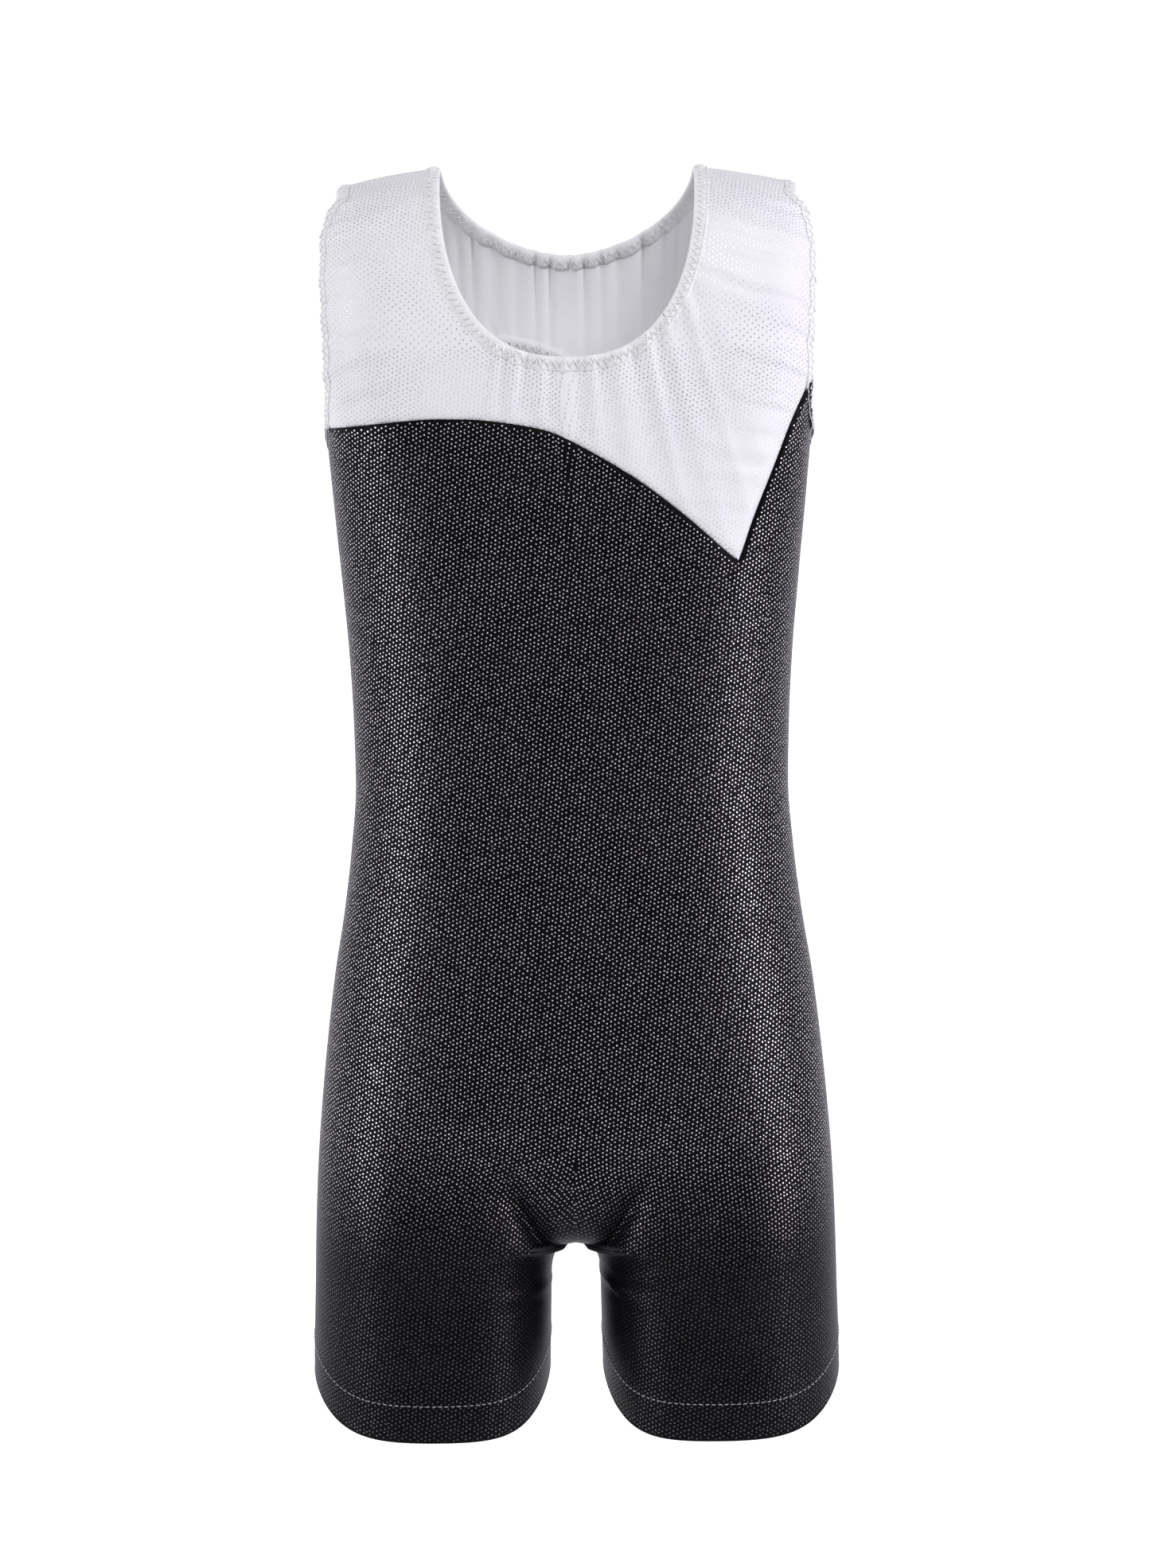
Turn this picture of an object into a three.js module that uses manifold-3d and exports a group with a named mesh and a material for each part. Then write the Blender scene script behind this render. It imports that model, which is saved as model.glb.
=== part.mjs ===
// A child's sleeveless gymnastics leotard with short legs, worn shape, as an assembly of cut
// panels, linings, edge elastics, threads and a sewn-in label.
// Millimetres, +Z up, the front faces -Y, wearer's left is +X. The origin is below the middle of
// the body, at the height of the lowest point of the leg hems. The pieces are drawn with the side
// seams at Y = 0, and the whole is moved at the end so that its front and back lie equally far out.
import * as THREE from 'three';
import { mergeVertices } from 'three/addons/utils/BufferGeometryUtils.js';
import Module from 'manifold-3d';

const wasm = await Module();
wasm.setup();

// ---------------------------------------------------------------- driving dimensions
const bodyLength = 584; // hem low point to the shoulder at the neck
const shoulderFall = 9; // how much lower the shoulder is at its outer end
const shoulderHalfWidth = 106; // body centre to the outer end of the shoulder seam
const armHalfWidth = 116; // half width of the form beside the armholes
const chestHalfWidth = 111;
const waistHalfWidth = 100;
const hipHalfWidth = 116.5;
const legHalfWidth = 122; // body centre to the outside of a leg at its hem
const chestFront = 66; // side seam plane to the front, at the chest
const chestBack = 69;
const waistFront = 60;
const waistBack = 57;
const hipFront = 68;
const hipBack = 82;
const legFront = 60;
const legBack = 66;

const waistHeight = 303; // heights are above the hem low point
const hipHeight = 152;
const crotchHeight = 87;
const legGap = 25; // between the legs at their hems
const crotchGap = 17; // between the legs just under the crotch
const chestDrop = 130; // drops are below the shoulder at the neck
const armDrop = 84;

const neckHalfWidth = 60;
const frontNeckDrop = 88;
const backNeckDrop = 40;
const armholeDepth = 122;
const armholeHalfWidth = 30;
const keyholeLong = 50; // semi-axes of the back keyhole
const keyholeShort = 30;
const keyholeTilt = -30; // degrees
const keyholeOffset = -16; // keyhole centre from the body centre
const keyholeDrop = 118;

const hemOuterRise = 25; // hem at the side seam, above its low point in front
const hemInnerRise = 19; // hem at the inseam
const hemBackRise = 33; // hem at the middle of the leg back
const hemDepth = 17; // turned-up allowance, to the coverstitch

const fabric = 1.2; // main fabric
const lining = 0.8;
const elastic = 0.9;
const thread = 0.5; // how thick a row of thread is
const clearance = 0.3; // left between layers and between joined edges
const elasticWidth = 7;
const rowWidth = 1.4; // one row of edge stitching
const coverWidth = 5; // the two needle rows of a coverstitch
const overlockWidth = 5;
const gussetHalfWidth = 26;
const gussetRise = 46; // how far the gusset runs up from the crotch

const labelLength = 42;
const labelHeight = 30;
const labelThickness = 0.5;
const labelAngle = 31; // degrees from the side seam plane, towards the back panel
const labelDrop = 268; // shoulder to the top of the label

// ---------------------------------------------------------------- colours
const white = { color: 0xf0eff5, roughness: 0.55, metalness: 0 };
const black = { color: 0x121216, roughness: 0.38, metalness: 0.15 };
const whiteThread = { color: 0xf6f5f8, roughness: 0.6, metalness: 0 };
const blackThread = { color: 0x1b1b20, roughness: 0.55, metalness: 0 };
const paleThread = { color: 0x9c9ca6, roughness: 0.45, metalness: 0 };
const satin = { color: 0xf4f3f0, roughness: 0.3, metalness: 0 };

// ---------------------------------------------------------------- helpers
const far = 400; // reach of a cutting prism past the garment
const sides = 24; // points round one section
const degrees = Math.PI / 180;

// A smooth curve through [position, value] knots that never overshoots them.
function curveThrough(knots) {
  const slopes = knots.map(([t, v], i) => {
    if (i === 0 || i === knots.length - 1) return 0;
    const before = (v - knots[i - 1][1]) / (t - knots[i - 1][0]);
    const after = (knots[i + 1][1] - v) / (knots[i + 1][0] - t);
    return before * after <= 0 ? 0 : (2 * before * after) / (before + after);
  });
  return (t) => {
    const last = knots.length - 2;
    let i = 0;
    while (i < last && t > knots[i + 1][0]) i += 1;
    const span = knots[i + 1][0] - knots[i][0];
    const u = THREE.MathUtils.clamp((t - knots[i][0]) / span, 0, 1);
    const rise = knots[i + 1][1] - knots[i][1];
    const a = slopes[i] * span;
    const b = slopes[i + 1] * span;
    return knots[i][1] + a * u + (3 * rise - 2 * a - b) * u * u + (a + b - 2 * rise) * u * u * u;
  };
}

function toSolid(geometry) {
  const bare = geometry.clone();
  bare.deleteAttribute('normal');
  bare.deleteAttribute('uv');
  const merged = mergeVertices(bare, 1e-4);
  return new wasm.Manifold(new wasm.Mesh({
    numProp: 3,
    vertProperties: merged.attributes.position.array,
    triVerts: new Uint32Array(merged.index.array),
  }));
}

// Joins rings of points, lowest first, into one closed solid with a strip across each end.
function loft(rings) {
  const count = rings[0].length;
  const triangles = [];
  const quad = (a, b, c, d) => triangles.push([a, b, c], [a, c, d]);
  for (let i = 0; i < rings.length - 1; i += 1) {
    for (let j = 0; j < count; j += 1) {
      const k = (j + 1) % count;
      quad(i * count + j, i * count + k, (i + 1) * count + k, (i + 1) * count + j);
    }
  }
  const top = (rings.length - 1) * count;
  for (let j = 0; j < count / 2; j += 1) {
    const across = (count - j) % count;
    const acrossNext = count - j - 1;
    quad(top + j, top + j + 1, top + acrossNext, top + across);
    quad(across, acrossNext, j + 1, j);
  }
  const whole = triangles.filter(([a, b, c]) => a !== b && b !== c && a !== c);
  const geometry = new THREE.BufferGeometry().setFromPoints(rings.flat());
  geometry.setIndex(whole.flat());
  return toSolid(geometry);
}

// One level section of the body: a rounded box shape, flatter or fuller by its power.
function section({ centre = 0, halfWidth, front, back, power }, height) {
  return Array.from({ length: sides }, (_, j) => {
    const angle = (2 * Math.PI * j) / sides;
    const shape = (v) => Math.sign(v) * Math.abs(v) ** (2 / power);
    const x = centre + halfWidth * shape(Math.cos(angle));
    const across = shape(Math.sin(angle));
    return new THREE.Vector3(x, across * (across > 0 ? back : front), height);
  });
}

const solidOf = (shape, depth) => {
  return new THREE.ExtrudeGeometry(shape, { depth, bevelEnabled: false, steps: 1 });
};

// A prism of an outline drawn on X and Z, from y0 to y1.
function prismAlongY(outline, y0, y1) {
  const geometry = solidOf(new THREE.Shape(outline), y1 - y0);
  return toSolid(geometry.rotateX(Math.PI / 2).translate(0, y1, 0));
}

// A prism of an outline drawn on Y and Z, from x0 to x1, then sheared if a shear is given.
function prismAlongX(outline, x0, x1, shear = new THREE.Matrix4()) {
  const geometry = solidOf(new THREE.Shape(outline), x1 - x0);
  const turn = new THREE.Matrix4().makeBasis(
    new THREE.Vector3(0, 1, 0),
    new THREE.Vector3(0, 0, 1),
    new THREE.Vector3(1, 0, 0),
  );
  return toSolid(geometry.applyMatrix4(turn).translate(x0, 0, 0).applyMatrix4(shear));
}

const at = (x, y) => new THREE.Vector2(x, y);

const box = (x0, x1, y0, y1, z0, z1) => (
  prismAlongY([at(x0, z0), at(x1, z0), at(x1, z1), at(x0, z1)], y0, y1)
);

// Moves an open line sideways, to its left as it runs, by a distance.
function offsetLine(points, distance) {
  const normal = (a, b) => at(a.y - b.y, b.x - a.x).normalize();
  const end = points.length - 1;
  return points.map((p, i) => {
    const before = normal(points[Math.max(i - 1, 0)], points[Math.max(i, 1)]);
    const after = normal(points[Math.min(i, end - 1)], points[Math.min(i + 1, end)]);
    const middle = before.clone().add(after).normalize();
    return p.clone().addScaledVector(middle, distance / Math.max(middle.dot(after), 0.5));
  });
}

// ---------------------------------------------------------------- the worn form
const chestHeight = bodyLength - chestDrop;
const armHeight = bodyLength - armDrop;
const armholeBottom = bodyLength - armholeDepth;
const seatHeight = (share) => THREE.MathUtils.lerp(crotchHeight, hipHeight, share);

// [height, half width, front, back, power]
const torsoStations = [
  [crotchHeight, legHalfWidth * 0.42, legFront * 0.3, legBack * 0.3, 2.2],
  [seatHeight(0.2), hipHalfWidth * 0.85, hipFront * 0.76, hipBack * 0.76, 2.2],
  [seatHeight(0.5), hipHalfWidth - 0.5, hipFront * 0.94, hipBack * 0.94, 2.3],
  [hipHeight, hipHalfWidth, hipFront, hipBack, 2.4],
  [waistHeight, waistHalfWidth, waistFront, waistBack, 2.3],
  [chestHeight, chestHalfWidth, chestFront, chestBack, 2.6],
  [armHeight, armHalfWidth, chestFront, chestBack, 3],
];
const torso = [1, 2, 3, 4].map((column) => (
  curveThrough(torsoStations.map((station) => [station[0], station[column]]))
));

// The shoulder line falls from the neck to the outer end.
function shoulderHeight(x) {
  const out = (Math.abs(x) - neckHalfWidth) / (shoulderHalfWidth - neckHalfWidth);
  return bodyLength - shoulderFall * THREE.MathUtils.clamp(out, 0, 1.15) ** 1.5;
}

const seatShares = [0, 0.12, 0.25, 0.42, 0.65, 1]; // levels of the sections, crotch to hips
const bodyShares = [0.15, 0.3, 0.44, 0.58, 0.72, 0.86, 1]; // hips to arms
const domeShares = [0.35, 0.62, 0.8, 0.91, 0.96, 0.99]; // arms to shoulders
const domePower = 2.3;
const shoulderNarrowing = 0.055; // share of the half width lost at the very top
const legPower = 2.15;

// The whole body and both legs, grown outwards by a distance.
function wornForm(grow) {
  const seat = seatShares.map(seatHeight);
  const body = bodyShares.map((t) => THREE.MathUtils.lerp(hipHeight, armHeight, t));
  const rings = [...seat, ...body].map((z, i) => {
    const [halfWidth, front, back, power] = torso.map((value) => value(z));
    const size = { halfWidth: halfWidth + grow, front: front + grow, back: back + grow, power };
    return section(size, i === 0 ? z - grow : z);
  });
  const [, , , , power] = torsoStations[torsoStations.length - 1];
  for (const t of domeShares) {
    const closing = (1 - t ** domePower) ** (1 / domePower);
    const narrowing = 1 - shoulderNarrowing * t ** 6;
    const size = {
      halfWidth: armHalfWidth * narrowing + grow,
      front: chestFront * closing + grow,
      back: chestBack * closing + grow,
      power,
    };
    rings.push(section(size, 0).map(({ x, y }) => (
      new THREE.Vector3(x, y, armHeight + t * (shoulderHeight(x) + grow - armHeight))
    )));
  }
  const legLevels = [
    [-20, legHalfWidth, legGap / 2, legFront, legBack],
    [hemOuterRise, legHalfWidth, legGap / 2, legFront, legBack],
    [crotchHeight - 20, legHalfWidth - 1.5, crotchGap / 2, legFront, hipBack * 0.88],
    [seatHeight(0.15), hipHalfWidth + 2.6, 5, hipFront * 0.91, hipBack * 0.9],
    [seatHeight(0.55), hipHalfWidth + 1, 5, hipFront * 0.88, hipBack * 0.88],
    [hipHeight, hipHalfWidth - 1.5, 8, hipFront * 0.82, hipBack * 0.82],
    [hipHeight + 30, hipHalfWidth - 28, 25, hipFront * 0.4, hipBack * 0.4],
  ];
  const leg = (side) => loft(legLevels.map(([z, outer, inner, front, back]) => section({
    centre: (side * (inner + outer)) / 2,
    halfWidth: (outer - inner) / 2 + grow,
    front: front + grow,
    back: back + grow,
    power: legPower,
  }, z)));
  return loft(rings).add(leg(-1)).add(leg(1));
}

// A layer of the worn form: its outer face grown by `outer`, its thickness running inwards.
const layer = (outer, thickness) => wornForm(outer).subtract(wornForm(outer - thickness));
const liningLevel = -(fabric + clearance);
const innerLevel = liningLevel - lining - clearance;

// ---------------------------------------------------------------- openings
// Half of a rounded scoop below the shoulder, grown outwards by a distance.
function scoop(drop, power, grow) {
  const outline = Array.from({ length: 17 }, (_, i) => {
    const angle = (Math.PI * i) / 16;
    const shape = (v) => Math.sign(v) * Math.abs(v) ** (2 / power);
    return at(
      -(neckHalfWidth + grow) * shape(Math.cos(angle)),
      bodyLength - (drop + grow) * shape(Math.sin(angle)),
    );
  });
  outline.push(at(neckHalfWidth + grow, bodyLength + far), at(-neckHalfWidth - grow, bodyLength + far));
  return outline;
}

const overlap = 0.5; // how far the front and back halves of a cutter reach into each other
const neckCut = (grow) => prismAlongY(scoop(frontNeckDrop, 2.5, grow), -far, overlap)
  .add(prismAlongY(scoop(backNeckDrop, 1.7, grow), -overlap, far));

function armholeCut(side, grow) {
  const outline = Array.from({ length: 11 }, (_, i) => {
    const angle = Math.PI * (1 + i / 10);
    return at(
      (armholeHalfWidth + grow) * Math.cos(angle),
      armHeight + (armHeight - armholeBottom + grow) * Math.sin(angle),
    );
  });
  const shoulderLevel = bodyLength - shoulderFall;
  outline.push(at(armholeHalfWidth * 0.85 + grow, (armHeight + shoulderLevel) / 2));
  outline.push(at(armholeHalfWidth * 0.45 + grow, shoulderLevel));
  outline.push(at(armholeHalfWidth * 0.45 + grow, bodyLength + far));
  outline.push(at(-armholeHalfWidth * 0.45 - grow, bodyLength + far));
  outline.push(at(-armholeHalfWidth * 0.45 - grow, shoulderLevel));
  outline.push(at(-armholeHalfWidth * 0.85 - grow, (armHeight + shoulderLevel) / 2));
  const inside = shoulderHalfWidth - grow;
  return side > 0 ? prismAlongX(outline, inside, far) : prismAlongX(outline, -far, -inside);
}

function keyholeCut(grow) {
  const tilt = keyholeTilt * degrees;
  const centre = at(keyholeOffset, bodyLength - keyholeDrop);
  const outline = Array.from({ length: 24 }, (_, i) => {
    const angle = (2 * Math.PI * i) / 24;
    return at((keyholeLong + grow) * Math.cos(angle), (keyholeShort + grow) * Math.sin(angle))
      .rotateAround(at(0, 0), tilt)
      .add(centre);
  });
  return prismAlongY(outline, 0, far);
}

// Everything below the hem of one leg, raised by a distance. The hem is lowest in front, and it
// leans from the side seam to the inseam.
function hemCut(side, raise) {
  const inner = legGap / 2;
  const middle = (legHalfWidth + inner) / 2;
  const lean = (hemOuterRise - hemInnerRise) / (legHalfWidth - inner);
  const sideRise = (hemOuterRise + hemInnerRise) / 2;
  const rise = curveThrough([[-legFront, 0], [0, sideRise], [legBack, hemBackRise]]);
  const steps = 16;
  const outline = Array.from({ length: steps + 1 }, (_, i) => {
    const y = THREE.MathUtils.lerp(-legFront, legBack, i / steps);
    return at(y, rise(y) + raise);
  });
  outline.unshift(at(-far, raise));
  outline.push(at(far, hemBackRise + raise), at(far, -far), at(-far, -far));
  const tilt = new THREE.Matrix4().set(
    1, 0, 0, 0,
    0, 1, 0, 0,
    side * lean, 0, 1, -lean * middle,
    0, 0, 0, 1,
  );
  const [x0, x1] = side > 0 ? [0.5, far] : [-far, -0.5];
  return prismAlongX(outline, x0, x1, tilt);
}

// ---------------------------------------------------------------- the seam of the yokes
// [share of the half width beside the arms, drop below the shoulder], right to left of the wearer
const frontSeamPoints = [
  [-1.3, 122], [-0.96, 122], [-0.8, 124], [-0.55, 124], [-0.3, 124.5], [-0.07, 131], [0.09, 140],
  [0.26, 153], [0.42, 166], [0.57, 178], [0.685, 188], [0.72, 174], [0.77, 157], [0.84, 135],
  [0.9, 117], [0.96, 103], [1.3, 92],
];
const backSeamPoints = [
  [-1.3, 122], [-0.96, 123], [-0.8, 133], [-0.6, 148], [-0.38, 164], [-0.15, 175], [0.1, 180],
  [0.35, 176], [0.56, 162], [0.74, 142], [0.88, 120], [0.97, 103], [1.3, 92],
];
const seamLine = (points) => points.map(([share, drop]) => (
  at(share * armHalfWidth, bodyLength - drop)
));
const frontSeam = seamLine(frontSeamPoints);
const backSeam = seamLine(backSeamPoints);

// The side of a seam above it, or below it, pulled back from the line by a distance.
function besideSeam(line, above, pull, y0, y1) {
  const moved = offsetLine(line, above ? pull : -pull);
  const level = above ? far + bodyLength : -far;
  const ends = [at(moved[moved.length - 1].x, level), at(moved[0].x, level)];
  return prismAlongY([...moved, ...ends], y0, y1);
}

// ---------------------------------------------------------------- pieces
const leotard = new THREE.Group();

function addPiece(name, solid, finish) {
  const mesh = solid.getMesh();
  const geometry = new THREE.BufferGeometry();
  geometry.setAttribute('position', new THREE.BufferAttribute(mesh.vertProperties, 3));
  geometry.setIndex(new THREE.BufferAttribute(mesh.triVerts, 1));
  geometry.computeVertexNormals();
  const piece = new THREE.Mesh(geometry, new THREE.MeshStandardMaterial(finish));
  piece.name = name;
  leotard.add(piece);
}

const half = clearance / 2;
const frontSide = (pull) => box(-far, far, -far, -pull, -far, far + bodyLength);
const backSide = (pull) => box(-far, far, pull, far, -far, far + bodyLength);
const cutAll = (solid, cutters) => cutters.reduce((rest, cutter) => rest.subtract(cutter), solid);
const armholes = (grow) => [armholeCut(-1, grow), armholeCut(1, grow)];
const hems = (raise) => [hemCut(-1, raise), hemCut(1, raise)];

// Outer panels, with the leg hems turned up inside.
const shell = cutAll(layer(0, fabric), [neckCut(0), ...armholes(0), ...hems(0)]);
const turnUp = layer(liningLevel, fabric);
const turnedHem = [-1, 1].map((side) => {
  const band = hemCut(side, hemDepth).subtract(hemCut(side, 0));
  const fold = hemCut(side, fabric).subtract(hemCut(side, 0));
  const facing = turnUp.intersect(band);
  return facing.add(layer(-fabric / 2, fabric + clearance).intersect(fold));
});
const bodyCloth = shell.add(turnedHem[0]).add(turnedHem[1]);
addPiece('front_body', bodyCloth
  .intersect(frontSide(half))
  .intersect(besideSeam(frontSeam, false, half, -far, 0)), black);
addPiece('back_body', bodyCloth
  .intersect(backSide(half))
  .intersect(besideSeam(backSeam, false, half, 0, far)), black);
addPiece('front_yoke', shell
  .intersect(frontSide(half))
  .intersect(besideSeam(frontSeam, true, half, -far, 0)), white);
addPiece('back_yoke', shell
  .intersect(backSide(half))
  .intersect(besideSeam(backSeam, true, half, 0, far))
  .subtract(keyholeCut(0)), white);

// Linings behind the white panels.
const liningShell = cutAll(layer(liningLevel, lining), [neckCut(0), ...armholes(0)]);
addPiece('front_yoke_lining', liningShell
  .intersect(frontSide(half))
  .intersect(besideSeam(frontSeam, true, half, -far, 0)), white);
addPiece('back_yoke_lining', liningShell
  .intersect(backSide(half))
  .intersect(besideSeam(backSeam, true, half, 0, far))
  .subtract(keyholeCut(0)), white);
addPiece('crotch_gusset', layer(liningLevel, lining)
  .intersect(box(-gussetHalfWidth, gussetHalfWidth, -far, far, 0, crotchHeight + gussetRise))
  .subtract(hemCut(-1, hemDepth + clearance))
  .subtract(hemCut(1, hemDepth + clearance)), black);

// Elastics along the turned edges.
const innerShell = layer(innerLevel, elastic);
const outerShell = layer(clearance + thread, thread);
const edges = [
  ['neck', neckCut],
  ['right_armhole', (grow) => armholeCut(-1, grow)],
  ['left_armhole', (grow) => armholeCut(1, grow)],
  ['keyhole', keyholeCut],
];
for (const [name, cut] of edges) {
  const neighbours = name === 'neck' ? armholes(0) : [];
  const band = (shellLayer, from, to) => (
    cutAll(shellLayer.intersect(cut(to)), [cut(from), ...neighbours])
  );
  addPiece(`${name}_elastic`, band(innerShell, 0, elasticWidth), whiteThread);
  addPiece(`${name}_stitching`, band(outerShell, elasticWidth - rowWidth, elasticWidth), whiteThread);
}

// Coverstitches on the outside of the leg hems.
for (const [name, side] of [['right', -1], ['left', 1]]) {
  addPiece(`${name}_hem_coverstitch`, outerShell
    .intersect(hemCut(side, hemDepth))
    .subtract(hemCut(side, hemDepth - coverWidth)), paleThread);
}

// Overlock threads of the seams, inside.
const beside = overlockWidth / 2;
const stop = elasticWidth + clearance; // threads end short of the elastics
for (const [name, side] of [['right', -1], ['left', 1]]) {
  const outward = (x0, x1, ...rest) => (side > 0 ? box(x0, x1, ...rest) : box(-x1, -x0, ...rest));
  addPiece(`${name}_side_seam`, layer(liningLevel, thread)
    .intersect(outward(waistHalfWidth / 2, far, -beside, beside, 0, armholeBottom - 2 * stop))
    .subtract(hemCut(side, hemDepth + clearance)), blackThread);
  addPiece(`${name}_shoulder_seam`, innerShell
    .intersect(outward(neckHalfWidth / 2, far, -beside, beside, armHeight, far + bodyLength))
    .subtract(neckCut(stop))
    .subtract(armholeCut(side, stop)), whiteThread);
}
for (const [name, line, y0, y1] of [
  ['front', frontSeam, -far, -beside - clearance],
  ['back', backSeam, beside + clearance, far],
]) {
  addPiece(`${name}_yoke_seam`, innerShell
    .intersect(besideSeam(line, true, -beside, y0, y1))
    .subtract(besideSeam(line, true, beside, y0 - 1, y1 + 1))
    .subtract(armholeCut(-1, stop))
    .subtract(armholeCut(1, stop)), blackThread);
}
addPiece('inseam', layer(liningLevel - lining - clearance, thread)
  .intersect(box(-legHalfWidth / 2, legHalfWidth / 2, -beside, beside, 0, crotchHeight + 8))
  .subtract(hemCut(-1, hemDepth + clearance))
  .subtract(hemCut(1, hemDepth + clearance)), blackThread);

// The care label hangs from the left side seam and lies near the back panel.
const labelTop = bodyLength - labelDrop;
const labelMiddle = labelTop - labelHeight / 2;
const seamWidths = [labelTop, labelMiddle, labelTop - labelHeight].map(torso[0]);
const seamInside = Math.min(...seamWidths) + liningLevel - thread;
const labelGeometry = new THREE.BoxGeometry(labelThickness, labelLength, labelHeight);
labelGeometry.translate(0, labelLength / 2, 0);
labelGeometry.rotateZ(labelAngle * degrees);
labelGeometry.translate(seamInside - 2 * clearance, 0, labelMiddle);
addPiece('care_label', toSolid(labelGeometry), satin);

const lowest = new THREE.Box3().setFromObject(leotard).min.z;
leotard.position.set(0, (hipFront - hipBack) / 2, -lowest);

export default leotard;
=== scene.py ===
# %% [markdown]
# # A child's gymnastics leotard
# A white yoke slants over a dotted black body with short legs. Every edge is turned over elastic.
# The cloth is stretched over a body that isn't there, so all of it follows one smooth worn form.
# This first cell loads the fixed frame that the pieces stand for and keeps its box.

# %% Frame, box and units
import math
import bpy
import bmesh
import numpy as np
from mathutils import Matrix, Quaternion, Vector
from mathutils.bvhtree import BVHTree
from mathutils.kdtree import KDTree


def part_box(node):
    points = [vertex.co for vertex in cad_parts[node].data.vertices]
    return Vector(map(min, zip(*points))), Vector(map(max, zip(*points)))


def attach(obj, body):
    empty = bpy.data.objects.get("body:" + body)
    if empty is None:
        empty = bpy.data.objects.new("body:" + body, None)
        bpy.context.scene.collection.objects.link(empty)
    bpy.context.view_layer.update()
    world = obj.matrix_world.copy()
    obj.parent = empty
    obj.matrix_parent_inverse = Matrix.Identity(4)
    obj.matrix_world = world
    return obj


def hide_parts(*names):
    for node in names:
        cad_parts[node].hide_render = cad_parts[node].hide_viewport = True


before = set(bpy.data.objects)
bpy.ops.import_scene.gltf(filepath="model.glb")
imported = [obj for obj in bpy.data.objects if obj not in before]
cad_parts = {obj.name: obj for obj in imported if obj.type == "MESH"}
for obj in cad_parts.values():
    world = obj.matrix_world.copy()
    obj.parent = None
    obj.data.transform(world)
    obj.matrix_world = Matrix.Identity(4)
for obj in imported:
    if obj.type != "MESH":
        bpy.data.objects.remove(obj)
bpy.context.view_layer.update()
MM = 0.001
seam_plane = (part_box("right_side_seam")[0][1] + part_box("right_side_seam")[1][1]) / 2 / MM
lowest_hem = 0.8  # the hem's fold hangs this far below the drawn hem line

# %% [markdown]
# ## The worn form
# The shape under the cloth is a stack of level rings. Each ring is a rounded box whose half width,
# depth and squareness follow smooth curves of the height. Below the crotch a ring is one leg, and
# between hip and crotch the half ring of the torso turns gradually into the ring of a leg. Over
# the shoulders the rings close like a dome. One function gives any point of a quarter of the form,
# so panels, linings, edges and stitches all agree with each other.

# %% Driving sizes, in millimetres
crotch, hip, waist, arm_level, top_level = 87.0, 152.0, 303.0, 500.0, 584.0
shoulder_fall, neck_half_width, shoulder_half_width = 9.0, 58.0, 106.0
dome_power, leg_power, under_power, narrowing = 2.3, 2.15, 3.2, 0.055
dome_span = 100.0  # how many level steps the dome takes
gap_top, gap_hem, arch_rise = 11.0, 12.8, 16.5  # half gap between the legs, and its round top
arch_powers, thigh_power = (2.2, 2.6), 2.5  # how round that top and the inner thigh are
outer_share = 0.32  # farther out than this the torso turns evenly into the leg


def smooth_curve(knots):
    """A curve through (position, value) knots that never overshoots them."""
    place, value = np.array(knots, float).T
    slope = np.diff(value) / np.diff(place)
    agree = slope[:-1] * slope[1:]
    total = np.where(agree > 0, slope[:-1] + slope[1:], 1)
    knot_slope = np.concatenate([[0], np.where(agree > 0, 2 * agree / total, 0), [0]])

    def at(where):
        i = np.clip(np.searchsorted(place, where, side="right") - 1, 0, len(place) - 2)
        span, rise = place[i + 1] - place[i], value[i + 1] - value[i]
        u = np.clip((where - place[i]) / span, 0, 1)
        a, b = knot_slope[i] * span, knot_slope[i + 1] * span
        return value[i] + a * u + (3 * rise - 2 * a - b) * u**2 + (a + b - 2 * rise) * u**3

    return at


half_width = smooth_curve([
    (-20, 122.9), (34, 122.7), (64, 121.9), (93, 121.2), (123, 119.9), (152, 117.7), (182, 114.7),
    (212, 111.0), (241, 106.3), (271, 102.6), (300, 100.4), (330, 101), (359, 102.5), (389, 105),
    (418, 107.8), (448, 110.4), (470, 112.2), (arm_level, 116)])
depths = {
    "front": smooth_curve([(-20, 60), (67, 60), (97, 62), (122, 65), (hip, 68), (waist, 60),
                           (454, 66), (arm_level, 66)]),
    "back": smooth_curve([(-20, 66), (25, 66), (67, 71), (97, 75), (122, 79), (hip, 82),
                          (waist, 57), (454, 69), (arm_level, 69)]),
}
squareness = smooth_curve([(crotch, 2.4), (hip, 2.4), (waist, 2.3), (420, 2.6), (arm_level, 4)])


def shoulder_height(x):
    """The top line of the straps, which falls from the neck to the arm."""
    out = (np.abs(x) - neck_half_width) / (shoulder_half_width - neck_half_width)
    return top_level - shoulder_fall * np.clip(out, 0, 1.15) ** 1.5


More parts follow.
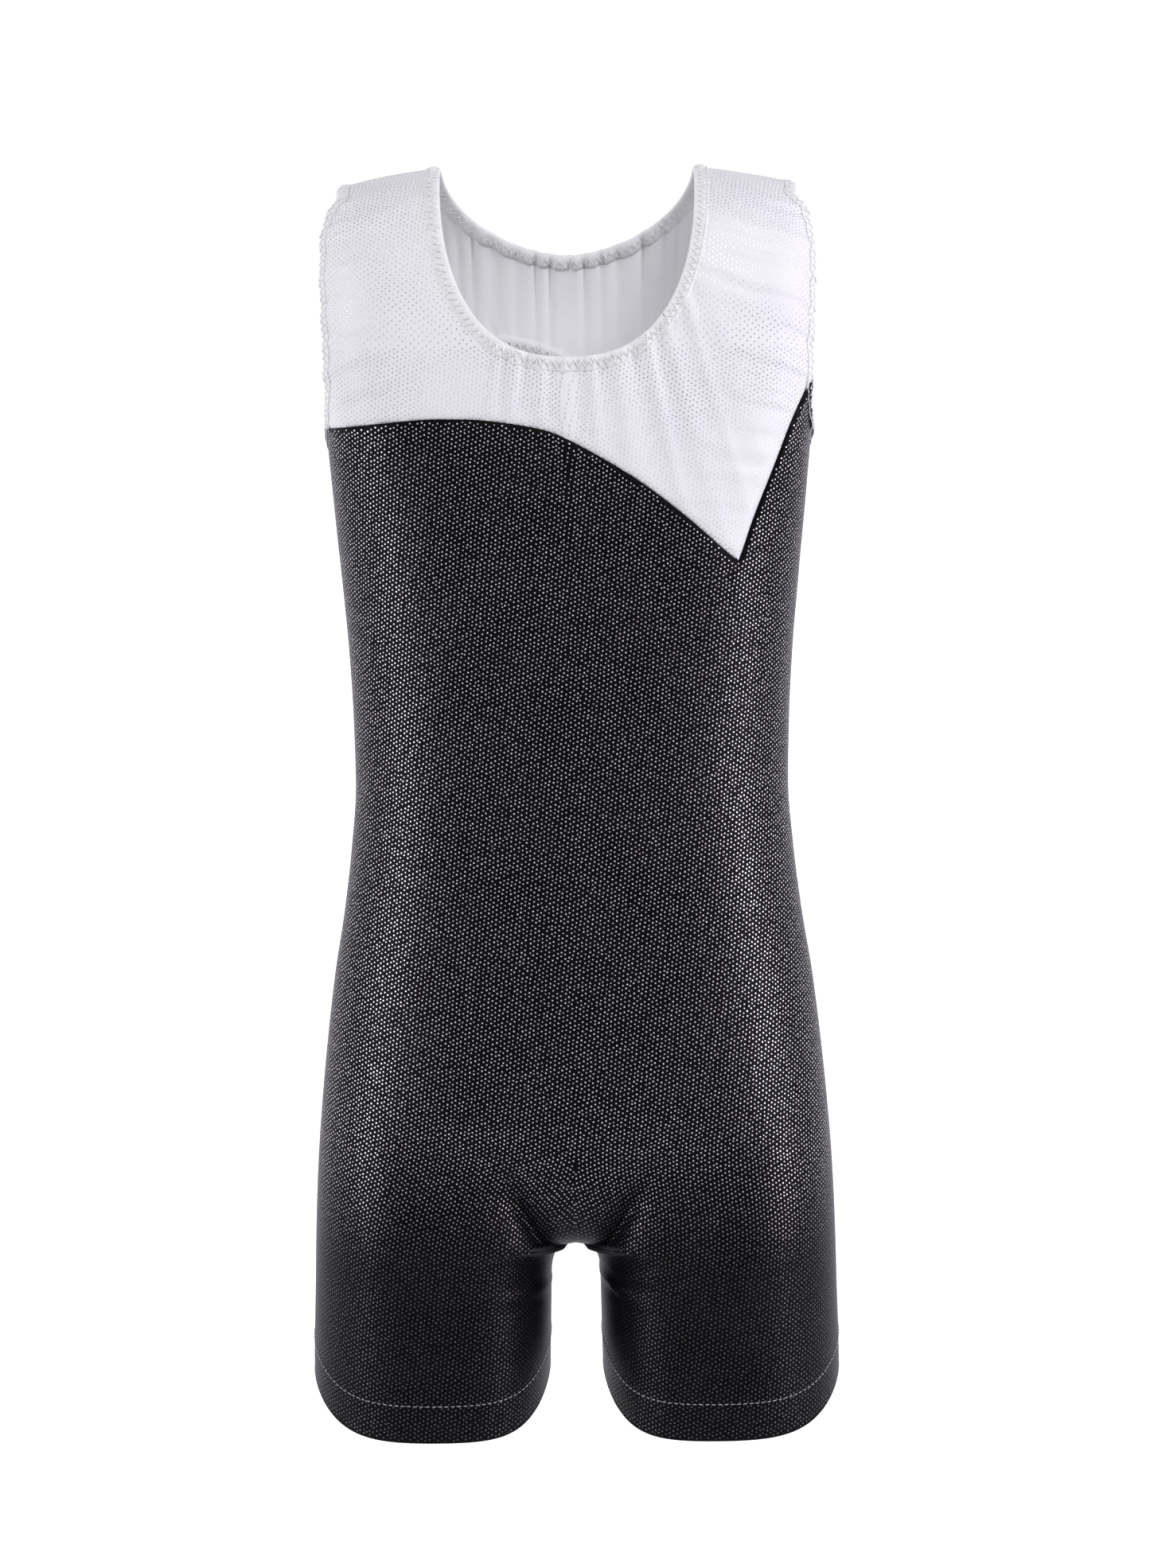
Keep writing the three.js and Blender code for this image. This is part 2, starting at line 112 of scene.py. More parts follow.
def worn_point(face, share, level, legs=True):
    """A point of the wearer's left half. share runs from the centre or inseam, 0, to the side
    seam, 1. level is the height up to the arms, and then steps on over the dome."""
    z = np.minimum(level, arm_level)
    width, depth, power = half_width(z), depths[face](z), squareness(z)
    turn = (1 - share) * math.pi / 2
    torso_x = width * np.cos(turn).clip(0) ** (2 / power)
    torso_y = depth * np.sin(turn).clip(0) ** (2 / power)
    below = np.clip(crotch - z, 0, None)
    near_top = 1 - np.clip(below / arch_rise, 0, 1)
    arch = (1 - near_top ** arch_powers[0]) ** (1 / arch_powers[1])
    inner = arch * (gap_top + (gap_hem - gap_top) * np.clip(below / crotch, 0, 1.2))
    across = np.cos(math.pi * share)
    bent = np.sign(across) * np.abs(across) ** (2 / leg_power)
    leg_x = width / 2 * (1 - bent) + inner * ((1 + bent) / 2) ** thigh_power
    leg_y = depth * np.sin(math.pi * share).clip(0) ** (2 / leg_power)
    down = np.clip((hip - z) / (hip - crotch), 0, 1)
    under = 1 - (1 - down**under_power) ** (1 / under_power)
    beside = down**2 * (3 - 2 * down)
    outward = np.clip(share / outer_share, 0, 1)
    into_leg = (under + (beside - under) * outward**2 * (3 - 2 * outward)) * legs
    x = torso_x + (leg_x - torso_x) * into_leg
    y = torso_y + (leg_y - torso_y) * into_leg
    close = np.clip((level - arm_level) / dome_span, 0, 1) * math.pi / 2
    climb = np.sin(close) ** (2 / dome_power)
    x = x * (1 - narrowing * climb**6)
    y = y * np.cos(close).clip(0) ** (2 / dome_power)
    z = z + climb * (shoulder_height(x) - arm_level)
    return np.stack([x, y if face == "back" else -y, z], -1)


# %% [markdown]
# ## From the form to sheets of cloth
# A quarter of the form becomes a grid whose steps are even along the cloth, so that no dot of the
# print is pulled long. Each grid point keeps its place, its outward direction and two cloth
# coordinates in metres. A panel is this grid with everything outside its outline cut away
# exactly, edge by edge, as scissors would.

# %% Quarter sheets
quarters = {}


def grid_faces(rows, count, around=False):
    """The four-sided faces of a grid of points, whose rows may close on themselves."""
    index = np.arange(rows * count).reshape(rows, count)
    if around:
        index = np.concatenate([index, index[:, :1]], 1)
    corners = [index[:-1, :-1], index[:-1, 1:], index[1:, 1:], index[1:, :-1]]
    return np.stack(corners, -1).reshape(-1, 4)


def even_levels(cell, low, high):
    """Levels whose rings lie a cell apart at most, found from a fine stack of levels."""
    fine = np.linspace(low, high, int((high - low) * 5) + 1)
    shares = np.linspace(0, 1, 9)
    fine_points = np.stack([worn_point("back", shares, level) for level in fine])
    step = np.linalg.norm(np.diff(fine_points, axis=0), axis=2).max(1)
    travel = np.concatenate([[0], np.cumsum(step)])
    return np.interp(np.linspace(0, travel[-1], int(travel[-1] / cell) + 1), travel, fine)


def quarter_sheet(side, face, cell, low, high):
    """Columns x, y, z, normal, u, v of a quarter of the form, and its triangles."""
    key = (side, face, cell, low, high)
    if key in quarters:
        return quarters[key]
    levels = even_levels(cell, low, high)
    fine_share = np.linspace(0, 1, 161)
    rows = worn_point(face, fine_share[None, :], levels[:, None])
    step = np.linalg.norm(np.diff(rows[..., :2], axis=1), axis=2)
    arc = np.concatenate([np.zeros((len(levels), 1)), np.cumsum(step, axis=1)], axis=1)
    length = arc[:, -1]
    count = int(length.max() / cell) + 1
    even = np.linspace(0, 1, count)
    share = np.stack([np.interp(even * length[i], arc[i], fine_share) for i in range(len(levels))])
    points = worn_point(face, share, levels[:, None])
    along, up = np.gradient(points, axis=1), np.gradient(points, axis=0)
    normal = np.cross(along, up) if face == "front" else np.cross(up, along)
    normal[:, 0, 0] = np.where(levels > crotch, 0, normal[:, 0, 0])
    normal /= np.linalg.norm(normal, axis=2, keepdims=True) + 1e-12
    whole = worn_point(face, fine_share[None, :], levels[:, None], legs=False)
    torso = np.linalg.norm(np.diff(whole[..., :2], axis=1), axis=2).sum(1)
    u = torso[:, None] - (1 - even[None, :]) * length[:, None]
    v = np.repeat(levels[:, None], count, axis=1)
    columns = np.concatenate([points, normal, (u * MM)[..., None], (v * MM)[..., None]], -1)
    columns = columns.reshape(-1, 8)
    columns[:, [0, 3, 6]] *= side
    corners = grid_faces(len(levels), count)
    triangles = np.concatenate([corners[:, :3], corners[:, [0, 2, 3]]])
    if (side > 0) != (face == "front"):
        triangles = triangles[:, ::-1]
    quarters[key] = (columns, triangles)
    return quarters[key]


def cut_along(columns, triangles, field):
    """Keeps the cloth where the field is positive. Also gives the cut as pairs of new rows."""
    inside = field > 0
    count = inside[triangles].sum(1)
    kept, ends = [triangles[count == 3]], []
    for alone in (True, False):
        part = triangles[count == (1 if alone else 2)]
        first = np.argmax(inside[part] == alone, axis=1)
        part = np.take_along_axis(part, (first[:, None] + np.arange(3)) % 3, axis=1)
        ends.append((part, alone))
    pairs = np.concatenate([np.sort(part[:, [0, other]], axis=1)
                            for part, _ in ends for other in (1, 2)])
    unique, place = np.unique(pairs, axis=0, return_inverse=True)
    place = place.reshape(-1)
    f0, f1 = field[unique[:, 0]], field[unique[:, 1]]
    weight = (f0 / np.where(f0 == f1, 1, f0 - f1))[:, None]
    new = columns[unique[:, 0]] * (1 - weight) + columns[unique[:, 1]] * weight
    start, cuts = 0, []
    for part, alone in ends:
        n = len(part)
        ab = place[start:start + n] + len(columns)
        ac = place[start + n:start + 2 * n] + len(columns)
        start += 2 * n
        cuts.append(np.stack([ab, ac], 1))
        if alone:
            kept.append(np.stack([part[:, 0], ab, ac], 1))
        else:
            kept.append(np.stack([ab, part[:, 1], part[:, 2]], 1))
            kept.append(np.stack([ab, part[:, 2], ac], 1))
    columns, triangles = np.concatenate([columns, new]), np.concatenate(kept)
    line = columns[np.concatenate(cuts)]
    used, triangles = np.unique(triangles, return_inverse=True)
    return columns[used], triangles.reshape(-1, 3), line


# %% [markdown]
# ## Outlines
# Each opening and seam is a field: a number that is zero on the line, grows into the cloth in
# millimetres and is negative where the cloth ends. The neck is a rounded scoop, deeper in front.
# The armholes are half ellipses that narrow up to the shoulder. The keyhole is a tilted ellipse
# between the shoulder blades. The yoke seam is level on one side and falls to a point.

# %% Fields of the openings
front_drop, back_drop, front_round, back_round = 88.0, 37.5, 2.5, 1.7
armhole_bottom, armhole_half, armhole_narrowing = 462.0, 40.0, 0.55
keyhole_centre, keyhole_axes, keyhole_tilt = (-16.0, 466.0), (50.0, 30.0), math.radians(-30)
hem_front, hem_side, hem_back, hem_depth = 1.8, 27.0, 34.0, 17.0
nowhere = 999  # a distance farther than any place on the cloth


def beyond(x, y, ratio):
    """Distance from a round outline, given how many times as far out as the outline a place is."""
    return np.hypot(x, y) * (1 - 1 / np.maximum(ratio, 1e-3))


def neck_field(p):
    """A rounded scoop, lower in front than behind."""
    front = p[:, 1] <= 0
    drop, power = np.where(front, front_drop, back_drop), np.where(front, front_round, back_round)
    x, down = np.abs(p[:, 0]), np.clip(top_level - p[:, 2], 0, None)
    return beyond(x, down, ((x / neck_half_width) ** power + (down / drop) ** power) ** (1 / power))


def armhole_field(side):
    """The field of one armhole: half an ellipse that goes on upwards and narrows."""
    def field(p):
        up = np.clip((p[:, 2] - arm_level) / (top_level - shoulder_fall - arm_level), 0, 1)
        half = armhole_half * (1 - armhole_narrowing * up**1.6)
        down = np.clip(arm_level - p[:, 2], 0, None)
        ratio = np.sqrt((p[:, 1] / half) ** 2 + (down / (arm_level - armhole_bottom)) ** 2)
        return np.maximum(beyond(p[:, 1], down, ratio), shoulder_half_width - side * p[:, 0])
    return field


def keyhole_field(p):
    """A tilted ellipse in the back."""
    dx, dz = p[:, 0] - keyhole_centre[0], p[:, 2] - keyhole_centre[1]
    c, s = math.cos(keyhole_tilt), math.sin(keyhole_tilt)
    a, b = c * dx + s * dz, c * dz - s * dx
    distance = beyond(a, b, np.hypot(a / keyhole_axes[0], b / keyhole_axes[1]))
    return np.where(p[:, 1] > 0, distance, nowhere)


hem_rise = smooth_curve([(-60, hem_front), (0, hem_side), (66, hem_back)])


def hem_field(p):
    """Height over the leg hem, which rises to the side and on to the back."""
    return p[:, 2] - hem_rise(p[:, 1])


# %% Fields of the yoke seams
seam_half_width = 116  # the seam's points give x as a share of this


def rounded(points):
    """Cuts the corners of an open line three times, so that it bends gently."""
    line = np.array(points, float)
    for _ in range(3):
        near, far = line[:-1] * 0.75 + line[1:] * 0.25, line[:-1] * 0.25 + line[1:] * 0.75
        line = np.concatenate([line[:1], np.stack([near, far], 1).reshape(-1, 2), line[-1:]])
    return line


def seam_line(*parts):
    """A line of (x, height) from parts that meet in sharp corners. The points give the share of
    the half width and the distance below the shoulders."""
    line = np.concatenate([rounded(part) for part in parts])
    return np.stack([line[:, 0] * seam_half_width, top_level - line[:, 1]], 1)


front_seam = seam_line(
    [(-1.3, 120), (-0.96, 119.5), (-0.81, 118.3), (-0.6, 115.8), (-0.44, 115.5), (-0.32, 116.1),
     (-0.19, 118.4), (-0.1, 120.4), (-0.03, 123.4), (0.09, 130.8), (0.22, 139.7), (0.35, 150.4),
     (0.48, 162.6), (0.59, 174), (0.66, 180.8)],
    [(0.66, 180.8), (0.68, 174.8), (0.72, 161), (0.8, 139), (0.87, 118), (0.93, 103.8),
     (0.97, 94.5), (1.3, 84)])
back_seam = seam_line(
    [(-1.3, 120), (-0.96, 121), (-0.8, 131), (-0.6, 146), (-0.38, 162), (-0.15, 173), (0.1, 178),
     (0.35, 174), (0.56, 160), (0.74, 140), (0.88, 117), (0.97, 95), (1.3, 84)])


def seam_field(p):
    """Distance from the yoke seam of that face, positive in the yoke."""
    result = np.zeros(len(p))
    for line, mask in ((front_seam, p[:, 1] <= 0), (back_seam, p[:, 1] > 0)):
        spot = p[mask][:, [0, 2]]
        best = np.full(len(spot), 1e9)
        for a, b in zip(line[:-1], line[1:]):
            run = b - a
            t = np.clip(((spot - a) @ run) / max(run @ run, 1e-9), 0, 1)
            best = np.minimum(best, np.linalg.norm(spot - a - t[:, None] * run, axis=1))
        above = spot[:, 1] > np.interp(spot[:, 0], line[:, 0], line[:, 1])
        result[mask] = np.where(above, best, -best)
    return result


# %% [markdown]
# ## Folds and puckers
# Elastic that is sewn on stretched pulls the cloth back into small folds. They are deepest at the
# stitching and fade into the panel. Here they are a relief in millimetres: below the neck they
# run down to the yoke seam, on the straps they run in from the armholes. The cloth also dips
# into each seam. The relief is a sum of sharp-topped waves whose pitch wanders a little.

# %% Relief of the cloth
def wander(t, seed):
    """A slow drift between about -1 and 1."""
    return (0.5 * np.sin(1.7 * t + 2.1 * seed) + 0.32 * np.sin(2.9 * t + 5.3 * seed)
            + 0.18 * np.sin(6.1 * t + 1.7 * seed))


def fold_wave(t, seed):
    """Rounded ridges, one to each unit of t, with wandering pitch and height."""
    wave = 0.5 + 0.5 * np.cos(2 * math.pi * (t + 0.38 * wander(t * 0.55, seed)))
    return (wave**1.6 - 0.4) * (0.72 + 0.4 * wander(t * 0.8, seed + 4))


def folds(t, pitch, seed, from_edge, reach):
    """Folds of a pitch that fade within a reach from an edge, in millimetres."""
    return fold_wave(t / pitch, seed) * np.exp(-from_edge / reach)


def smooth_step(value, low, high):
    """Grows softly from 0, at low, to 1, at high."""
    t = np.clip((value - low) / (high - low), 0, 1)
    return t * t * (3 - 2 * t)


fan_spread = 0.0062  # the folds below the neck spread by this share with each millimetre
gather_starts, gather_ends = (-42, -16), (44, 66)  # across the chest, towards the wearer's left


def yoke_relief(p):
    """Folds below the neck, behind it, on the straps, beside the armholes and round the keyhole."""
    x, y, z = p.T
    from_neck = np.clip(neck_field(p), 0, None)
    below_neck = np.where(y <= 0, 1, 0) * smooth_step(top_level - z, 30, 75)
    fan = x / (1 + fan_spread * from_neck)
    middle = smooth_step(fan, *gather_starts) * (1 - smooth_step(fan, *gather_ends))
    long_folds = folds(fan, 10.5, 1.0, from_neck, 55)
    fine_folds = folds(fan, 5.2, 2.0, from_neck, 14)
    relief = below_neck * (middle * 3.2 * long_folds + (0.25 + 0.75 * middle) * 0.9 * fine_folds)
    round_neck = np.arctan2(x, np.clip(z - 470, 1, None)) * 60
    back_neck = np.where(y > 0, 1, 0) * smooth_step(top_level - z, 14, 34)
    relief += back_neck * 3.0 * folds(x, 8.5, 3.0, from_neck, 42)
    strap = smooth_step(np.abs(x), 58, 66) * smooth_step(z, 500, 530)
    relief += strap * 0.6 * folds(z + 0.35 * y + 0.2 * round_neck, 5.4, 5.0, from_neck, 11)
    for side, deep in ((-1, 1.4), (1, 1.9)):
        from_arm = np.clip(armhole_field(side)(p), 0, None)
        slope = z - 0.42 * from_arm + 0.12 * y
        relief += smooth_step(side * x, 20, 60) * deep * (
            0.75 * folds(slope, 7.4, 7.0 + side, from_arm, 17)
            + 0.9 * folds(slope, 15.5, 8.0 + side, from_arm, 32))
    from_key = np.clip(keyhole_field(p), 0, None)
    round_key = np.arctan2(z - keyhole_centre[1], x - keyhole_centre[0])
    relief += np.where(y > 0, 0.5, 0) * folds(round_key, 1 / 7, 9.0, from_key, 16)
    return relief * smooth_step(np.abs(seam_field(p)), 0, 7)


def seam_relief(p):
    """The white edge sinks under the seam and the black edge makes a small roll."""
    inward = seam_field(p)
    white = -0.85 * np.exp(-(np.clip(inward, 0, None) / 1.5) ** 2)
    roll = 0.55 * np.exp(-((inward + 1.5) / 1.0) ** 2) - 0.7 * np.exp(-(inward / 0.7) ** 2)
    return np.where(inward > 0, white, roll)


def body_relief(p):
    """Ripples round the seam's point, faint folds below it, and creases beside the crotch."""
    x, y, z = p.T
    tip = front_seam[np.argmin(front_seam[:, 1])]
    away, around = np.hypot(x - tip[0], z - tip[1]), np.arctan2(x - tip[0], tip[1] - z)
    relief = 0.5 * np.cos(around * 5 + 0.6) * np.exp(-away / 16) * smooth_step(away, 0, 6)
    relief += 0.22 * folds(x - 0.5 * (z - top_level), 9, 11.0, -seam_field(p), 22) \
        * smooth_step(x, -30, 0) * smooth_step(-x, -70, -40)
    for middle, height, reach, tilt in ((33, -12, 15, 0.06), (-26, -21, 13, 0.12),
                                        (19, -19, 8, -0.5)):
        across, down = x - middle, z - crotch - height - tilt * (x - middle)
        relief += 1.3 * np.cos(down / 1.5) * np.exp(-(down / 4.2) ** 2 - (across / reach) ** 2)
    return np.where(y <= 0, relief, 0)


def side_dip(p):
    """A shallow valley where front and back are sewn together."""
    return -0.45 * np.exp(-(p[:, 1] / 1.3) ** 2) * smooth_step(np.abs(p[:, 0]), 60, 90)


# %% [markdown]
# ## Making meshes
# These helpers turn sheets into meshes, declare each piece and what it stands for, and give a
# cloth its thickness. The points are drawn in millimetres round the side seam plane and are put
# in their place in metres here.

# %% Mesh helpers
def placed(points):
    """Drawn points in their place, in metres."""
    return (np.asarray(points) + [0, seam_plane, lowest_hem]) * MM


def add_object(name, data):
    piece = bpy.data.objects.new(name, data)
    bpy.context.scene.collection.objects.link(piece)
    return piece


def mesh_object(name, points, faces, materials, uv):
    mesh = bpy.data.meshes.new(name)
    mesh.from_pydata(placed(points).tolist(), [], np.asarray(faces).tolist())
    for material in materials:
        mesh.materials.append(material)
    corner = np.empty(len(mesh.loops), int)
    mesh.loops.foreach_get("vertex_index", corner)
    mesh.uv_layers.new(name="UVMap").data.foreach_set("uv", np.asarray(uv)[corner].ravel())
    mesh.polygons.foreach_set("use_smooth", [True] * len(mesh.polygons))
    return add_object(name, mesh)


def edit_mesh(piece, change):
    """Runs a change on the mesh of a piece."""
    work = bmesh.new()
    work.from_mesh(piece.data)
    change(work)
    work.to_mesh(piece.data)
    work.free()


def weld(piece):
    """Joins points that lie on each other, such as those along the centre."""
    edit_mesh(piece, lambda work: bmesh.ops.remove_doubles(work, verts=work.verts, dist=0.02 * MM))


def delete_faces(piece, unwanted):
    """Takes away the faces whose middle is an unwanted place."""
    edit_mesh(piece, lambda work: bmesh.ops.delete(work, context="FACES", geom=[
        face for face in work.faces if unwanted(face.calc_center_median())]))


def bake_modifiers(piece):
    """Turns the piece with its modifiers into a plain mesh."""
    graph = bpy.context.evaluated_depsgraph_get()
    mesh = bpy.data.meshes.new_from_object(piece.evaluated_get(graph), depsgraph=graph)
    piece.modifiers.clear()
    piece.data = mesh
    mesh.name = piece.name


def thicken(piece, thickness, inner_material=0):
    """Gives a sheet a wall, to the inside, whose inner face may have a material of its own."""
    wall = piece.modifiers.new("cloth thickness", "SOLIDIFY")
    wall.thickness = thickness * MM
    wall.offset = -1
    wall.material_offset = inner_material
    bake_modifiers(piece)


def join(name, parts):
    """Joins pieces into one mesh object of that name."""
    work = bmesh.new()
    for part in parts:
        work.from_mesh(part.data)
    mesh = bpy.data.meshes.new(name)
    work.to_mesh(mesh)
    work.free()
    for material in parts[0].data.materials:
        mesh.materials.append(material)
    for part in parts:
        bpy.data.objects.remove(part)
    return add_object(name, mesh)


def declare(piece, slot, *nodes, body="garment"):
    """Says which body carries the piece and hides the plain solids that it replaces. slot, what it
    is made of, is not used.
    """
    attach(piece, body)
    if nodes:
        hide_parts(*nodes)
    print(piece.name, len(piece.data.polygons), "faces")


def panel(name, face, fields, cell, low, high, reliefs, materials, level=0.0):
    """A cut panel of the form, moved out by level millimetres, with its relief, not thickened."""
    parts, start = [], 0
    for side in (-1, 1):
        columns, triangles = quarter_sheet(side, face, cell, low, high)
        for field in fields:
            columns, triangles, _ = cut_along(columns, triangles, field(columns[:, :3]))
        parts.append((columns, triangles + start))
        start += len(columns)
    columns = np.concatenate([part[0] for part in parts])
    triangles = np.concatenate([part[1] for part in parts])
    place = columns[:, :3]
    out = level + sum((relief(place) for relief in reliefs), np.zeros(len(place)))
    piece = mesh_object(name, place + columns[:, 3:6] * out[:, None], triangles, materials,
                        columns[:, 6:8])
    weld(piece)
    return piece


# %% [markdown]
# ## Lines on the form
# Edge bands and stitches follow lines: an opening's outline, or a line at a fixed distance from
# it. The line comes from the same cut that shapes the cloth, so it fits the cloth everywhere. The
# little cuts are chained end to end, smoothed and stepped off evenly.

# %% Line helpers
line_cell, bottom_level, last_level = 2.0, -14.0, arm_level + dome_span
widest_gap = 0.7  # cuts that are nearer than this belong to one line
faces_of_form = ("front", "back")


def chain(cuts):
    """Joins short cuts, each two rows, into one line of rows."""
    ends, left = cuts[:, :, :3], np.ones(len(cuts), bool)
    path, left[0] = [cuts[0, 0], cuts[0, 1]], False
    for _ in range(2):
        while left.any():
            away = np.linalg.norm(ends - path[-1][:3], axis=2)
            away[~left] = 1e9
            i, end = divmod(int(away.argmin()), 2)
            if away[i, end] > widest_gap:
                break
            left[i] = False
            path.append(cuts[i, 1 - end])
        path.reverse()
    return np.array(path)


def even_line(path, step, closed):
    """Steps off a line evenly and then smooths it a little."""
    if closed:
        path = path[:-1] if np.linalg.norm(path[0, :3] - path[-1, :3]) < widest_gap else path
        path = np.concatenate([path, path[:1]])
    travel = np.concatenate([[0], np.cumsum(np.linalg.norm(np.diff(path[:, :3], axis=0), axis=1))])
    count = max(int(round(travel[-1] / step)), 8)
    spot = np.linspace(0, travel[-1], count + 1)
    line = np.stack([np.interp(spot, travel, path[:, i]) for i in range(8)], 1)
    if closed:
        line = line[:-1]
    for _ in range(3):
        before, after = np.roll(line, 1, 0), np.roll(line, -1, 0)
        soft = 0.25 * before + 0.5 * line + 0.25 * after
        if not closed:
            soft[[0, -1]] = line[[0, -1]]
        line = soft
    line[:, 3:6] /= np.linalg.norm(line[:, 3:6], axis=1, keepdims=True)
    return line


def outline(field, distance=0.0, faces=faces_of_form, sides=(-1, 1), step=1.0, closed=True,
            keep=None):
    """The line on the form that runs a distance into the cloth from the edge of a field."""
    cuts = []
    for face in faces:
        for side in sides:
            columns, triangles = quarter_sheet(side, face, line_cell, bottom_level, last_level)
            line = cut_along(columns, triangles, field(columns[:, :3]) - distance)[2]
            if keep is not None and len(line):
                line = line[keep(line[:, 0, :3])]
            cuts.append(line)
    return even_line(chain(np.concatenate(cuts)), step, closed)


# The whole form as a search tree, to lay strips on it.
form_points, form_faces = [], []
for side in (-1, 1):
    for face in faces_of_form:
        columns, triangles = quarter_sheet(side, face, line_cell, bottom_level, last_level)
        form_faces += (triangles + sum(map(len, form_points))).tolist()
        form_points.append(columns[:, :3])
form_tree = BVHTree.FromPolygons(np.concatenate(form_points).tolist(), form_faces)
print("form", len(form_faces), "triangles")


def sideways(line, closed):
    """Directions along the cloth, square to the line."""
    if closed:
        tangent = np.roll(line[:, :3], -1, 0) - np.roll(line[:, :3], 1, 0)
    else:
        tangent = np.gradient(line[:, :3], axis=0)
    across = np.cross(line[:, 3:6], tangent)
    return across / (np.linalg.norm(across, axis=1, keepdims=True) + 1e-12)


def edge_band(name, line, field, profile, material, relief=None, ribs=(0, 1, 1), thickness=0.5):
    """A strip that is turned over an edge. profile lists (distance in, height out, share of the
    relief). ribs are (height, pitch, seed)."""
    across = sideways(line, True)
    into_cloth = field(line[:, :3] + 2 * across) - field(line[:, :3] - 2 * across)
    across = across * np.sign(into_cloth.mean())
    count = len(line)
    travel = np.arange(count) * np.linalg.norm(np.diff(line[:, :3], axis=0), axis=1).mean()
    rib_height, rib_pitch, seed = ribs
    rib = rib_height * (fold_wave(travel / rib_pitch, seed) if rib_height else 0 * travel)
    rows = []
    for distance, height, share in profile:
        nearest = [form_tree.find_nearest(Vector(spot))
                   for spot in line[:, :3] + across * distance]
        ground, normal = [np.array([hit[i] for hit in nearest]) for i in (0, 1)]
        normal *= np.sign((normal * line[:, 3:6]).sum(1))[:, None]
        normal = normal + 2 * line[:, 3:6]
        normal /= np.linalg.norm(normal, axis=1, keepdims=True)
        out = height + (share * relief(ground) if relief else 0) + (rib if height > -0.5 else -rib)
        rows.append(ground + normal * out[:, None])
    points, faces = np.concatenate(rows), grid_faces(len(profile), count, around=True)
    corner = points[faces[-(count - 1):]]
    towards = np.cross(corner[:, 1] - corner[:, 0], corner[:, 3] - corner[:, 0])
    if (towards * line[:count - 1, 3:6]).sum() < 0:
        faces = faces[:, ::-1]
    row_gap = 1.5
    uv = np.stack([np.tile(travel, len(profile)),
                   np.repeat(np.arange(len(profile)) * row_gap, count)], 1) * MM
    piece = mesh_object(name, points, faces, [material], uv)
    thicken(piece, thickness)
    return piece


# %% [markdown]
# ## Finishes
# The black knit carries foil dots that catch the light, over a base that is nearly black with a
# faint violet sheen. The white knit has the same dots in a pearl foil. Linings are plain knit.
# Knit is a small bump of loops along the cloth coordinates. Threads are bright and fairly smooth,
# and the label is satin.

# %% Material helpers
waves_per_metre = 0.314  # a wave texture of this scale has one wave to a metre


def finish(name, base, roughness, metallic=0.0, specular=0.5, sheen=0.0, sheen_tint=(1, 1, 1),
           sheen_roughness=0.4):
    material = bpy.data.materials.new(name)
    material.use_nodes = True
    shader = material.node_tree.nodes["Principled BSDF"]
    shader.inputs["Base Color"].default_value = (*base, 1)
    shader.inputs["Roughness"].default_value = roughness
    shader.inputs["Metallic"].default_value = metallic
    shader.inputs["Specular IOR Level"].default_value = specular
    shader.inputs["Sheen Weight"].default_value = sheen
    shader.inputs["Sheen Tint"].default_value = (*sheen_tint, 1)
    shader.inputs["Sheen Roughness"].default_value = sheen_roughness
    return material


def add_node(tree, kind, inputs=None, **settings):
    """Adds a node. An input is a number, a socket, or a node whose first output is meant."""
    node = tree.nodes.new(kind)
    for key, value in settings.items():
        setattr(node, key, value)
    for key, value in (inputs or {}).items():
        if isinstance(value, bpy.types.Node):
            value = value.outputs[0]
        if isinstance(value, bpy.types.NodeSocket):
            tree.links.new(value, node.inputs[key])
        else:
            node.inputs[key].default_value = value
    return node


def calc(tree, operation, *values, kind="ShaderNodeMath"):
    """The result of a math node."""
    return add_node(tree, kind, dict(enumerate(values)), operation=operation).outputs[0]


def coordinates(tree, kind="Object"):
    return add_node(tree, "ShaderNodeTexCoord").outputs[kind]


def drive(material, name, value):
    """Lets a node's result set an input of the material's shader."""
    tree = material.node_tree
    tree.links.new(value, tree.nodes["Principled BSDF"].inputs[name])


def add_bump(tree, strength, depth, height, **more):
    """A bump from a height, with its depth in millimetres."""
    return add_node(tree, "ShaderNodeBump", {
        "Strength": strength, "Distance": depth * MM, "Height": height, **more}).outputs["Normal"]


def knit_bump(material, loop, row, depth, strength, wrinkle=0.0):
    """Loops of a fine knit as a bump, with soft unevenness."""
    tree = material.node_tree
    uv = coordinates(tree, "UV")
    waves = [add_node(tree, "ShaderNodeTexWave", {
        "Vector": uv, "Scale": waves_per_metre / (size * MM), "Distortion": distortion},
        bands_direction=axis).outputs["Fac"]
        for axis, size, distortion in (("X", loop, 0.6), ("Y", row, 0.8))]
    normal = add_bump(tree, strength, depth, calc(tree, "MULTIPLY", *waves))
    if wrinkle:
        uneven = add_node(tree, "ShaderNodeTexNoise", {
            "Vector": coordinates(tree), "Scale": 55.0, "Detail": 3.0, "Roughness": 0.5})
        normal = add_bump(tree, 0.35, wrinkle, uneven.outputs["Fac"], Normal=normal)
    drive(material, "Normal", normal)


def mottle(material, dark, light, scale, detail=3.0):
    """Lets the colour drift between two close shades."""
    tree = material.node_tree
    noise = add_node(tree, "ShaderNodeTexNoise", {
        "Vector": coordinates(tree), "Scale": scale, "Detail": detail})
    ramp = add_node(tree, "ShaderNodeValToRGB", {"Fac": noise.outputs["Fac"]})
    for element, place, shade in zip(ramp.color_ramp.elements, (0.3, 0.7), (dark, light)):
        element.position, element.color = place, (*shade, 1)
    drive(material, "Base Color", ramp.outputs["Color"])


